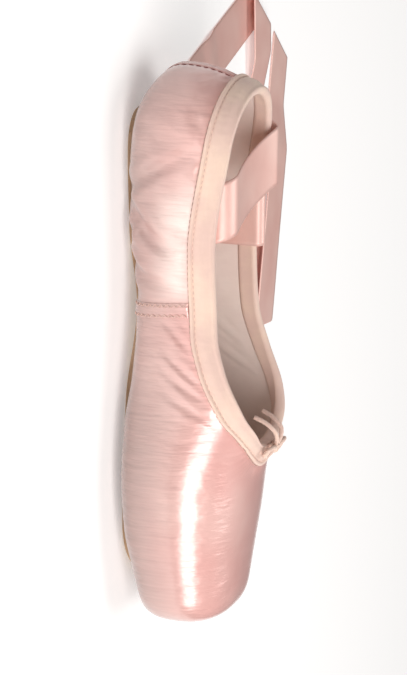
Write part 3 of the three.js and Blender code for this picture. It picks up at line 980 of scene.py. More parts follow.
@dataclass
class Stitching:
    """Stitches as small rounded bars lying on the cloth, joined in one mesh."""

    last: Last
    width: float = 0.42
    height: float = 0.34
    laid: list[tuple[Array, Array, Array]] = field(default_factory=list)

    def mesh(self) -> bmesh.types.BMesh:
        """All the stitches laid so far, as copies of one rounded bar.

        Returns:
            One mesh of them all.
        """
        bar = bmesh.new()
        bmesh.ops.create_uvsphere(bar, u_segments=8, v_segments=6, radius=0.5)
        bmesh.ops.rotate(bar, verts=bar.verts, matrix=Matrix.Rotation(math.pi / 2, 3, "Y"))
        shape = np.array([vert.co for vert in bar.verts])
        corners = [[vert.index for vert in face.verts] for face in bar.faces]
        faces = np.array([row[:3] + row[-1:] for row in corners])
        bar.free()
        starts, ends, ups = (np.array(column) for column in zip(*self.laid))
        ahead = ends - starts
        side = unit(np.cross(ups, ahead))
        third = unit(np.cross(ahead, side))
        frames = np.stack([ahead, side * self.width, third * self.height], axis=1)
        places = (starts + ends)[:, None] / 2 + shape @ frames
        rows = faces[None] + len(shape) * np.arange(len(starts))[:, None, None]
        data = bpy.data.meshes.new("stitches")
        data.from_pydata(self.last.world(places.reshape(-1, 3)).tolist(), [],
                         [list(dict.fromkeys(row)) for row in rows.reshape(-1, 4).tolist()])
        joined = bmesh.new()
        joined.from_mesh(data)
        bpy.data.meshes.remove(data)
        bmesh.ops.recalc_face_normals(joined, faces=joined.faces)
        return joined

    def run(self, line: Array, up: Array, pitch: float, length: float) -> None:
        """Lays a running row of stitches.

        Args:
            line: Points of the row.
            up: Outward direction at each.
            pitch: From one stitch to the next.
            length: Of each stitch.
        """
        arcs = arc_lengths(line)
        for at in np.arange(pitch / 2, arcs[-1] - length, pitch):
            ends = [np.array([np.interp(at + d, arcs, line[:, k]) for k in range(3)]) for d in (0.0, length)]
            normal = np.array([np.interp(at + length / 2, arcs, up[:, k]) for k in range(3)])
            self.laid.append((ends[0], ends[1], normal))

    def zigzag(self, line: Array, beside: Array, up: Array, pitch: float) -> None:
        """Lays a zigzag row between two lines with as many points.

        Args:
            line: Points of one edge.
            beside: Points of the other edge.
            up: Outward direction at each point.
            pitch: Length of line for each stitch.
        """
        arcs = arc_lengths(line)
        marks = np.arange(0.0, arcs[-1], pitch)
        corners = []
        for i, at in enumerate(marks):
            edge = beside if i % 2 else line
            corners.append([np.array([np.interp(at, arcs, data[:, k]) for k in range(3)])
                            for data in (edge, up)])
        for (start, normal), (end, _) in zip(corners, corners[1:]):
            self.laid.append((start, end, normal))


# The upper


@dataclass(frozen=True)
class Crease:
    """A soft trough on the upper, with a ridge to each side.

    path holds its points as (round, down).
    """

    side: Side
    path: tuple[tuple[float, float], ...]
    depth: float
    width: float
    ridge: float = 0.5

    def height(self, around: Array, down: Array) -> Array:
        """Height of the cloth over its smooth form at each place.

        Args:
            around: Places round the upper, in mm.
            down: Distances below the topline, in mm.

        Returns:
            Heights, in mm.
        """
        line = rounded_path(self.path, 15)
        nearest = np.full(down.shape, 1e9)
        share = np.zeros(down.shape)
        for i, (start, end) in enumerate(zip(line, line[1:])):
            run = end - start
            t = ((around - start[0]) * run[0] + (down - start[1]) * run[1]) / np.dot(run, run)
            t = np.clip(t, 0.0, 1.0)
            away = np.hypot(around - start[0] - t * run[0], down - start[1] - t * run[1])
            share = np.where(away < nearest, (i + t) / (len(line) - 1), share)
            nearest = np.minimum(nearest, away)
        trough = np.exp(-(nearest / self.width) ** 2)
        ridges = np.exp(-((nearest - 1.9 * self.width) / (0.9 * self.width)) ** 2)
        fade = np.sin(math.pi * np.clip(0.08 + 0.84 * share, 0.0, 1.0)) ** 0.8
        return self.depth * fade * (self.ridge * ridges - trough)


@dataclass(frozen=True)
class Swell:
    """A broad dent or swelling of the cloth, set at (round, down)."""

    side: Side
    around: float
    down: float
    wide: float
    deep: float
    rise: float

    def height(self, around: Array, down: Array) -> Array:
        """Height of the cloth over its smooth form at each place."""
        away = ((around - self.around) / self.wide) ** 2 + ((down - self.down) / self.deep) ** 2
        return self.rise * np.exp(-away)


@dataclass(frozen=True)
class Lumps:
    """Unevenness of one size: its height on the stiff box, and what the slack quarters add."""

    size: float
    on_box: float
    on_quarter: float


@dataclass
class Upper:
    """Satin upper over its lining, one wall from the topline to the lasted edge."""

    last: Last
    sole: SolePattern
    topline: Topline
    heel_hub: float = 30.0
    toe_hub: float = 146.0
    heel_columns: int = 40
    side_columns: int = 96
    toe_columns: int = 84
    rows: int = 92
    bound: float = 9.0
    pleat_pitch: float = 6.4
    pleat_depth: float = 0.75
    pull_height: float = 0.11
    pull_reach: float = 4.5
    taut: Zone = (112.0, 132.0)
    lumps: tuple[Lumps, ...] = (Lumps(15.0, 0.05, 0.32), Lumps(6.0, 0.02, 0.16))
    creases: tuple[Crease, ...] = (
        Crease(Side.INNER, ((62, 42), (57, 32), (51, 23), (46, 13)), 1.5, 2.8),
        Crease(Side.INNER, ((65, 41), (72, 32), (79, 25), (84, 16)), 1.7, 2.6),
        Crease(Side.INNER, ((85, 42), (79, 36), (73, 33)), 1.0, 2.2),
        Crease(Side.INNER, ((87, 42), (92, 34), (96, 27), (98, 17)), 1.6, 2.5),
        Crease(Side.INNER, ((36, 34), (42, 24), (44, 14)), 0.6, 3.0),
        Crease(Side.INNER, ((122, 11), (117, 15), (112, 20)), 0.42, 1.5, 0.7),
        Crease(Side.INNER, ((136, 10), (131, 15), (124, 21)), 0.46, 1.5, 0.7),
        Crease(Side.INNER, ((142, 11), (137, 17), (130, 25)), 0.42, 1.6, 0.7),
        Crease(Side.INNER, ((151, 12), (146, 19), (139, 27)), 0.36, 1.7, 0.7),
        Crease(Side.OUTER, ((6, 12), (24, 18), (44, 29), (60, 38)), 0.9, 2.6),
        Crease(Side.OUTER, ((5, 19), (18, 24), (34, 33), (44, 39)), 0.8, 2.2),
        Crease(Side.OUTER, ((5, 26), (14, 30), (24, 37)), 0.6, 2.0),
        Crease(Side.OUTER, ((60, 12), (66, 20), (70, 30)), 0.6, 3.2),
        Crease(Side.OUTER, ((104, 14), (96, 22), (86, 31)), 0.7, 3.4),
        Crease(Side.OUTER, ((132, 10), (127, 15), (120, 21)), 0.42, 1.5, 0.7),
        Crease(Side.OUTER, ((144, 11), (139, 17), (132, 24)), 0.42, 1.6, 0.7),
    )
    swells: tuple[Swell, ...] = (
        Swell(Side.INNER, 66, 21, 9, 8, 1.0),
        Swell(Side.INNER, 90, 22, 7, 9, 1.1),
        Swell(Side.INNER, 104, 30, 9, 7, -0.5),
        Swell(Side.INNER, 30, 24, 16, 12, 0.4),
        Swell(Side.OUTER, 82, 24, 16, 10, 0.5),
        Swell(Side.OUTER, 110, 28, 10, 8, -0.4),
    )

    def __post_init__(self) -> None:
        """Lays the lines of the wall and shapes the cloth over them."""
        hub, turn = self.rays()
        self.wall = Wall(self.last, self.sole, self.topline, hub, turn)
        half = len(hub) // 2
        outline = self.wall.cast(np.zeros((len(hub), 1)))[:, 0]
        run = arc_lengths(outline)
        self.around = np.minimum(run, run[-1] - run)[:, None]
        self.middle = float(run[half])
        self.side = np.where(np.arange(len(hub)) <= half, Side.INNER.value, Side.OUTER.value)[:, None]
        self.down = self.wall.length[:, None] * np.linspace(0.0, 1.0, self.rows + 1)
        form = self.wall.at(self.down)
        self.normals = self.last.normal(form)
        self.points = form + self.normals * self.relief(form)[..., None]

    def rays(self) -> tuple[Array, Array]:
        """Rays once round the shoe, the inner side first, back to the seam that they start from.

        Returns:
            Where each starts on the spine, and its bearing.
        """
        heel = math.pi * (1 - 0.5 * np.arange(self.heel_columns) / self.heel_columns)
        share = np.arange(self.side_columns) / self.side_columns
        sides = self.heel_hub + (self.toe_hub - self.heel_hub) * share
        fine = np.linspace(math.pi / 2, 0.0, 241)
        arcs = arc_lengths(self.last.cast(np.full_like(fine, self.toe_hub), fine, 0 * fine))
        toe = np.interp(np.linspace(0.0, arcs[-1], self.toe_columns + 1), arcs, fine)
        hub = np.concatenate([np.full_like(heel, self.heel_hub), sides, np.full_like(toe, self.toe_hub)])
        turn = np.concatenate([heel, np.full_like(sides, math.pi / 2), toe])
        return np.concatenate([hub, hub[-2::-1]]), np.concatenate([-turn, turn[-2::-1]])

    def relief(self, form: Array) -> Array:
        """Height of the cloth over the last's smooth form, in mm.

        Args:
            form: Points of the smooth form.

        Returns:
            Heights, by line and distance.
        """
        around, down = np.broadcast_arrays(self.around, self.down)
        total = np.zeros(down.shape)
        for mark in (*self.creases, *self.swells):
            total += np.where(self.side == mark.side.value, mark.height(around, down), 0.0)
        slack = 1 - smooth_step(form[..., 0], *self.taut)
        for lumps in self.lumps:
            total += (lumps.on_box + lumps.on_quarter * slack) * self.uneven(form, lumps.size)
        pull = np.sin(around * 1.25 + 0.8 * np.sin(around * 0.31))
        total += self.pull_height * pull * np.exp(-(down - self.bound) / self.pull_reach)
        total *= smooth_step(down, self.bound - 0.8, self.bound + 2.4)
        return total - self.pleats(around, down)

    def uneven(self, form: Array, size: float) -> Array:
        """Smooth unevenness about zero, in lumps of about size mm."""
        heights = [noise.noise(Vector(point) / size) for point in form.reshape(-1, 3)]
        return np.array(heights).reshape(form.shape[:2])

    def pleats(self, around: Array, down: Array) -> Array:
        """Depth of the pleats that draw the satin in under the toe.

        Args:
            around: Places round the upper, in mm.
            down: Distances below the topline, in mm.

        Returns:
            Depths, in mm.
        """
        from_edge = self.wall.length[:, None] - down
        phase = (self.middle - around) / self.pleat_pitch + 0.25 + 0.13 * np.sin(around * 0.9)
        fold = (phase % 1.0) ** 2.2 * (1 - smooth_step(phase % 1.0, 0.86, 1.0))
        window = smooth_step(around, self.middle - 86.0, self.middle - 58.0)
        window = window * (1 - smooth_step(from_edge, 12.0, 30.0)) * smooth_step(from_edge, 1.0, 8.0)
        return self.pleat_depth * 1.5 * fold * window

    def on(self, side: Side, around: Array, down: Array) -> tuple[Array, Array]:
        """Places on the finished cloth.

        Args:
            side: Which side of the shoe.
            around: Millimetres round from the back seam.
            down: Millimetres below the topline.

        Returns:
            Points, and outward directions there.
        """
        half = len(self.around) // 2
        column = np.interp(around, self.around[:half + 1, 0], np.arange(half + 1))
        if side is Side.OUTER:
            column = len(self.around) - 1 - column
        left = np.clip(np.floor(column).astype(int), 0, len(self.around) - 2)
        found = []
        for data in (self.points, self.normals):
            ends = []
            for i in (left, left + 1):
                row = np.clip(down / self.wall.length[i] * self.rows, 0, self.rows - 1e-6)
                upper = np.floor(row).astype(int)
                share = (row - upper)[..., None]
                ends.append(data[i, upper] * (1 - share) + data[i, upper + 1] * share)
            part = (column - left)[..., None]
            found.append(ends[0] * (1 - part) + ends[1] * part)
        return found[0], unit(found[1])

    def around_at(self, x: Array) -> Array:
        """Round coordinate of the side wall at x."""
        start, end = self.heel_columns, self.heel_columns + self.side_columns
        return np.interp(x, self.wall.hub[start:end + 1, 0], self.around[start:end + 1, 0])

    def build(self, satin: bpy.types.Material, lining: bpy.types.Material) -> bpy.types.Object:
        """Makes the wall.

        Args:
            satin: Finish of the outside.
            lining: Finish of the inside.

        Returns:
            The upper.
        """
        signed = self.around * self.side
        mesh = grid(self.last.world(self.points), signed * MM + 0 * self.down, self.down * MM)
        bmesh.ops.reverse_faces(mesh, faces=mesh.faces)
        piece = publish(mesh, "satin_upper", (satin, lining), ("upper",))
        group = piece.vertex_groups.new(name="stiffened")
        places = np.array([vert.co for vert in piece.data.vertices])[:, 0] / MM + self.last.length / 2
        for i, share in enumerate(smooth_step(places, *self.last.stiffened)):
            group.add([i], float(share), "REPLACE")
        shell = piece.modifiers.new("wall", "SOLIDIFY")
        shell.thickness = self.last.box_wall * MM
        shell.offset = -1.0
        shell.vertex_group = group.name
        shell.thickness_vertex_group = self.last.quarter_wall / self.last.box_wall
        shell.material_offset = 1
        shell.material_offset_rim = 1
        return piece


# Trim of the upper


@dataclass
class Binding:
    """Cotton tape folded over the topline, with the drawstring in it and a piped lower edge."""

    upper: Upper
    outside: float = 9.0
    inside: float = 6.0
    thick: float = 0.7
    puff: float = 1.15
    piping: float = 1.7
    piping_height: float = 0.45
    groove: float = 6.9
    groove_depth: float = 0.34
    groove_width: float = 0.35
    channel: float = 3.0
    channel_height: float = 0.45
    channel_width: float = 2.2
    edge_drop: float = 0.15
    stitch_pitch: float = 2.3
    stitch_length: float = 1.5

    def swell(self, arc: Array) -> Array:
        """Height of the tape's face over the satin, at distances below the topline.

        Args:
            arc: Distances below the topline, in mm.

        Returns:
            Heights, in mm.
        """
        channel = self.channel_height * np.exp(-((arc - self.channel) / self.channel_width) ** 2)
        groove = self.groove_depth * np.exp(-((arc - self.groove) / self.groove_width) ** 2)
        roll = np.clip(1 - ((arc - (self.outside - self.piping / 2)) / (self.piping / 2)) ** 2, 0, None)
        drop = self.edge_drop * smooth_step(arc, self.groove - 0.9, self.groove + 0.5)
        return self.thick + channel - groove + self.piping_height * np.sqrt(roll) - drop

    def rings(self) -> Array:
        """Closed outlines of the tape, one at each line of the wall.

        Returns:
            Points, by line of the wall and place round the tape.
        """
        wall, last = self.upper.wall, self.upper.last
        around = self.upper.around
        gather = 0.1 * np.sin(around * 1.7 + 1.1 * np.sin(around * 0.23)) + 0.05 * np.sin(around * 3.1)
        outside = np.concatenate([np.linspace(self.outside, self.groove - 1.2, 15), np.linspace(5.0, 0.0, 9)])
        base = wall.at(outside)
        lift = GAP + self.swell(outside) + gather * np.exp(-((outside - 3.4) / 2.4) ** 2)
        lift[:, 0] = 0.12
        face = base + last.normal(base) * lift[..., None]
        top = base[:, -1]
        normal = last.normal(top)
        thick = last.wall(top[:, 0]) + 2 * GAP + self.thick
        bend = np.linspace(0.0, math.pi, 9)[1:-1]
        middle = (self.puff - thick + GAP) / 2
        reach = (self.puff + thick + GAP) / 2
        over = (top[:, None] + normal[:, None] * (middle[:, None] + reach[:, None] * np.cos(bend))[..., None]
                + wall.rise[:, None] * ((self.puff + 0.5) * np.sin(bend))[None, :, None])
        lining = np.linspace(0.0, self.inside, 7)
        inner = wall.off(lining, -(GAP + self.thick))
        inner[:, -1] = wall.off(lining[-1:], -0.1)[:, 0]
        back = [wall.off(np.array([self.inside, 0.5]), -0.1), wall.off(np.array([0.5]), 0.12)]
        return np.concatenate([face, over, inner, *back, face[:, :1]], axis=1)

    def build(self, cotton: bpy.types.Material, thread: bpy.types.Material) -> None:
        """Makes the tape and its two rows of stitches.

        Args:
            cotton: Finish of the tape.
            thread: Finish of the stitches.
        """
        rings = self.rings()
        mesh = grid(self.upper.last.world(rings))
        bmesh.ops.recalc_face_normals(mesh, faces=mesh.faces)
        publish(mesh, "topline_binding", (cotton,), ("binding",))
        stitches = Stitching(self.upper.last, 0.36, 0.32)
        for arc, lift in ((self.groove, 0.36), (self.outside + 0.25, -0.22)):
            base = self.upper.wall.at(np.array([arc]))[:, 0]
            normal = self.upper.last.normal(base)
            stitches.run(base + normal * (GAP + lift), normal, self.stitch_pitch, self.stitch_length)
        publish(stitches.mesh(), "binding_stitches", (thread,))


@dataclass
class SideSeam:
    """Taped join of vamp and quarter on one side, sewn down with two zigzag rows."""

    upper: Upper
    side: Side
    top: float = 0.412
    lean: float = -0.08
    width: float = 6.0
    reach: float = 30.0
    start: float = 9.3
    thick: float = 0.75
    zig: float = 1.3
    pitch: float = 1.25
    furrow: float = 0.3
    pucker: float = 0.14

    def band(self, across: Array, down: Array) -> tuple[Array, Array]:
        """Places on the cloth under the band.

        Args:
            across: Millimetres from its middle line, towards the toe.
            down: Millimetres below the topline.

        Returns:
            Points and outward directions, by row and place across.
        """
        x = self.top * self.upper.last.length - self.lean * (down - self.upper.bound)
        around = self.upper.around_at(x[:, None] + across[None, :])
        return self.upper.on(self.side, around, down[:, None] + 0 * around)

    def build(self, satin: bpy.types.Material, thread: bpy.types.Material) -> None:
        """Makes the band and its stitches.

        Args:
            satin: Finish of the band.
            thread: Finish of the stitches.
        """
        name = self.side.name.lower()
        down = np.linspace(self.start, self.start + self.reach, 121)
        across = np.linspace(-self.width / 2, self.width / 2, 25)
        points, normals = self.band(across, down)
        share = np.abs(across) / (self.width / 2)
        edge = np.sqrt(np.clip(1 - share ** 6, 0, 1))
        furrow = self.furrow * np.exp(-((np.abs(across) - self.width / 2 + self.zig * 0.8) / 0.6) ** 2)
        gathers = np.cos(math.pi * down / self.pitch)[:, None]
        pucker = self.pucker * gathers * np.exp(-((share - 0.75) / 0.3) ** 2)
        ends = np.clip(np.minimum(down - down[0], down[-1] - down) / 1.2, 0, 1)[:, None] ** 0.5
        lift = 0.05 + (self.thick - furrow + pucker) * edge * (0.25 + 0.75 * ends)
        world = self.upper.last.world
        mesh = strip(world(points + normals * lift[..., None]), world(points - normals * SUNK))
        publish(mesh, f"side_seam_band_{name}", (satin,), (f"side_seam_{name}",))
        stitches = Stitching(self.upper.last, 0.4, 0.36)
        for edge_sign in (-1, 1):
            near = edge_sign * (self.width / 2 - 0.35)
            far = edge_sign * (self.width / 2 - 0.35 - self.zig)
            lines, up = self.band(np.array([near, far]), down[4:-4])
            raised = lines + up * (self.thick - 0.05)
            stitches.zigzag(raised[:, 0], raised[:, 1], up[:, 0], self.pitch)
        publish(stitches.mesh(), f"side_seam_stitches_{name}", (thread,))


@dataclass
class BackSeam:
    """Narrow strip over the join at the heel, between two rows of dark stitches."""

    upper: Upper
    width: float = 4.2
    reach: float = 33.0
    start: float = 9.3
    thick: float = 0.55
    pitch: float = 3.0
    length: float = 2.1
    beside: float = 0.9
    stitch_lift: float = 0.1

    def build(self, satin: bpy.types.Material, thread: bpy.types.Material) -> None:
        """Makes the strip and a row of stitches to each side of it.

        Args:
            satin: Finish of the strip.
            thread: Finish of the stitches.
        """
        down = np.linspace(self.start, self.start + self.reach, 91)
        across = np.linspace(-self.width / 2, self.width / 2, 17)
        places, ups = [], []
        for offset in across:
            side = Side.INNER if offset < 0 else Side.OUTER
            found, up = self.upper.on(side, np.full_like(down, abs(offset)), down)
            places.append(found)
            ups.append(up)
        points, normals = np.stack(places, axis=1), np.stack(ups, axis=1)
        share = np.abs(across) / (self.width / 2)
        crease = 0.28 * np.exp(-(across / 0.5) ** 2)
        lift = 0.05 + (self.thick - crease) * np.sqrt(np.clip(1 - share ** 4, 0, 1))
        world = self.upper.last.world
        mesh = strip(world(points + normals * lift[None, :, None]), world(points - normals * SUNK))
        publish(mesh, "heel_seam_strip", (satin,), ("back_seam",))
        stitches = Stitching(self.upper.last, 0.6, 0.45)
        for side in Side:
            line, up = self.upper.on(side, np.full_like(down, self.width / 2 + self.beside), down)
            stitches.run(line + up * self.stitch_lift, up, self.pitch, self.length)
        publish(stitches.mesh(), "heel_seam_stitches", (thread,))


# Sole pieces


@dataclass
class Outsole:
    """Thin leather sole, level under heel and forefoot."""

    pattern: SolePattern
    gap: float = 0.4
    bevel: float = 0.8
    stitch_inset: float = 3.2
    stitch_clear: float = 8.0
    stitch_lift: float = 0.16
    stitch_pitch: float = 3.4
    stitch_length: float = 2.1

    def build(self, leather: bpy.types.Material, thread: bpy.types.Material) -> None:
        """Makes the sole and its row of stitches.

        Args:
            leather: Finish of the sole.
            thread: Finish of the stitches.
        """
        pattern, last = self.pattern, self.pattern.last
        ease = (1 - np.cos(np.linspace(0.0, math.pi, 131))) / 2
        x = pattern.start + (pattern.end - pattern.start) * (0.4 * ease + 0.6 * np.linspace(0.0, 1.0, 131))
        half = np.maximum(pattern.half(x), 0.0)[:, None]
        across = np.linspace(-1.0, 1.0, 25)
        x_top = x[:, None] + 0 * across
        top = np.stack([x_top, half * across, last.bottom(x_top, half * across) - self.gap], axis=-1)
        bend = np.linspace(0.0, math.pi / 2, 6)
        tread = pattern.tread(x)[:, None]
        narrow = np.minimum(self.bevel, half)

        def edge(sign: int) -> Array:
            """Rounded lower edge on one side.

            Args:
                sign: Which side, 1 or -1.

            Returns:
                Points, by row and place round the edge.
            """
            y = sign * (half - narrow * (1 - np.cos(bend)))
            z = tread + self.bevel * (1 - np.sin(bend))
            return np.stack([x[:, None] + 0 * bend, y, z], axis=-1)

        flat = np.linspace(1.0, -1.0, 25)[1:-1]
        under = np.stack([x[:, None] + 0 * flat, (half - narrow) * flat, tread + 0 * flat], axis=-1)
        ring = np.concatenate([top, edge(1), under, edge(-1)[:, ::-1], top[:, :1]], axis=1)
        mesh = grid(last.world(ring))
        bmesh.ops.remove_doubles(mesh, verts=mesh.verts, dist=MERGED * MM)
        publish(close(mesh), "leather_outsole", (leather,), ("outsole",))
        stitches = Stitching(last, 0.5, 0.3)
        rows = np.linspace(pattern.start + self.stitch_clear, pattern.end - self.stitch_clear, 160)
        down = np.tile([0.0, 0.0, -1.0], (len(rows), 1))
        for side in Side:
            edge_line = side.value * (pattern.half(rows) - self.stitch_inset)
            line = np.stack([rows, edge_line, pattern.tread(rows) + self.stitch_lift], axis=-1)
            stitches.run(line, down, self.stitch_pitch, self.stitch_length)
        publish(stitches.mesh(), "outsole_stitches", (thread,))


@dataclass
class Insole:
    """Cotton sock over the insole board."""

    last: Last
    start: float = 16.0
    end: float = 200.0
    ends: End = End(22.0, 2.2)
    thick: float = 2.0
    gap: float = 1.0
    room: float = 0.8

    def half(self, x: Array, z: Array) -> Array:
        """Half the room inside the wall at a height.

        Args:
            x: Distance from the back of the heel.
            z: Height.

        Returns:
            Half widths.
        """

        def clear(y: Array) -> Array:
            """Whether there is room this far from the middle.

            Args:
                y: Distances from the middle.

            Returns:
                True where the insole fits.
            """
            at = np.stack([x, y, z], axis=-1)
            value = self.last.field(at)
            step = 0.05
            slope = [(self.last.field(at + axis) - value) / step for axis in np.eye(3) * step]
            depth = -value / np.linalg.norm(np.stack(slope, axis=-1), axis=-1)
            return (value < 0) & (depth > self.last.wall(x) + self.room)

        return bisect(clear, 0 * x, np.full_like(x, self.last.ball_width / 2))

    def build(self, cotton: bpy.types.Material) -> None:
        """Makes the insole, its edge a little rounded.

        Args:
            cotton: Finish of the insole.
        """
        ease = (1 - np.cos(np.linspace(0.0, math.pi, 91))) / 2
        x = self.start + (self.end - self.start) * ease
        base = self.last.bottom(x, 0 * x) + self.last.wall(x) + self.gap
        half = self.half(x, base) * self.ends.share(x - self.start) * self.ends.share(self.end - x)
        turn = np.linspace(0.0, 2 * math.pi, 49)
        square = 0.25
        wide = np.sign(np.cos(turn)) * np.abs(np.cos(turn)) ** square
        high = np.sign(np.sin(turn)) * np.abs(np.sin(turn)) ** square
        ring = np.stack([x[:, None] + 0 * turn, half[:, None] * wide,
                         (base + self.thick / 2)[:, None] + self.thick / 2 * high], axis=-1)
        mesh = grid(self.last.world(ring))
        bmesh.ops.remove_doubles(mesh, verts=mesh.verts, dist=MERGED * MM)
        publish(close(mesh), "cotton_insole", (cotton,), ("insole",))


# Ties


@dataclass
class Drawstring:
    """Bow of the drawstring on the middle of the throat.

    Points are (side, back, up) from its knot: side outwards, back towards the heel.
    """

    upper: Upper
    diameter: float = 1.8
    sides: int = 16
    plies: int = 2
    twist: float = 14.0
    knot_radius: float = 0.78
    knot_twist: float = 7.0
    knot_lift: float = 1.6
    puff: float = 1.1
    knot_size: tuple[float, float, float] = (2.5, 2.0, 1.5)
    leader: tuple[tuple[float, float, float], ...] = ((3.2, 1.0, -1.7), (2.2, 0.9, -0.9), (0.9, 0.6, -0.2))
    loop: tuple[tuple[float, float, float], ...] = (
        (1.2, 0.2, 0.2), (4.8, 1.9, 0.9), (9.0, 1.7, 0.4), (10.4, -0.5, -0.3),
        (8.0, -2.0, -0.3), (4.2, -1.3, 0.0), (1.2, -0.2, 0.0),
    )
    tail: tuple[tuple[float, float, float], ...] = (
        (0.8, 0.8, -0.1), (2.4, 4.4, 0.1), (3.8, 7.6, -1.6), (4.6, 9.4, -6.0), (5.2, 9.8, -11.0),
    )

    def __post_init__(self) -> None:
        """Finds the knot's place and the bow's own axes."""
        upper = self.upper
        front = Wall(upper.last, upper.sole, upper.topline, np.array([upper.toe_hub]), np.array([0.0]))
        rim = front.at(np.array([0.0]))[0, 0]
        self.back = front.rise[0]
        self.up = upper.last.normal(rim)
        self.knot = rim + self.up * (2 * GAP + self.puff + self.knot_lift)

    def place(self, points: Sequence[Sequence[float]], side: Side) -> Array:
        """Bow points on one side, on the last.

        Args:
            points: Rows of side, back and up.
            side: Which half of the bow.

        Returns:
            Points, in mm.
        """
        rows = np.array(points)
        return (self.knot + rows[:, :1] * np.array([0.0, side.value, 0.0])
                + rows[:, 1:2] * self.back + rows[:, 2:] * self.up)

    def build(self, cotton: bpy.types.Material) -> None:
        """Makes the two halves of the string and the knot that holds them.

        Args:
            cotton: Finish of the string.
        """
        last = self.upper.last
        turn = np.linspace(0.0, 2 * math.pi, 121)
        wide, long, high = self.knot_size
        shape = np.stack([(np.sin(turn) + 2 * np.sin(2 * turn)) / 3 * (wide - 0.6),
                          (np.cos(turn) - 2 * np.cos(2 * turn)) / 3 * (long - 0.5),
                          -np.sin(3 * turn) * (high - 0.7)], axis=-1)
        path = last.world(self.place(shape, Side.OUTER))
        mesh = tube(path, self.knot_radius * MM, self.sides, self.plies, self.knot_twist, True)
        knot = publish(mesh, "drawstring_knot", (cotton,))
        for side in Side:
            line = rounded_path(self.place((*self.leader, *self.loop, *self.tail), side), 150)
            path = last.world(line)
            length = float(arc_lengths(path)[-1])
            mesh = tube(path, self.diameter / 2 * MM, self.sides, self.plies, self.twist, False)
            first = side is Side.INNER
            string = publish(mesh, f"drawstring_{side.name.lower()}", (cotton,),
                             ("drawstring_bow",) if first else ())


class Lay(Enum):
    """How a ribbon goes on, on the floor."""

    OVER = "doubled back on a fold line"
    DROP = "let down off the fold"
    BUMP = "lifted in a low wave"


@dataclass(frozen=True)
class LayRow:
    """One step of a ribbon's lay, after a straight run, at a slant to its edge in degrees."""

    kind: Lay
    after: float
    slant: float = 90.0
    turn: float = 180.0
    round: float = 1.7


@dataclass(frozen=True)
class Fold:
    """One bend of the ribbon round a straight line: radians, and a radius in mm."""

    at: float
    turn: float
    round: float
    slant: float


@dataclass(frozen=True)
class Rim:
    """The binding where a ribbon goes over it: the ribbon's place inside, its height and half its width."""

    inside: float
    height: float
    round: float


@dataclass(frozen=True)
class Crossing:
    """A ribbon's way across the opening, in degrees.

    It leaves its quarter on a small bend, dips by leave and comes up to the far rim at meet.
    """

    leave: float = 8.0
    meet: float = 16.0
    round: float = 7.0


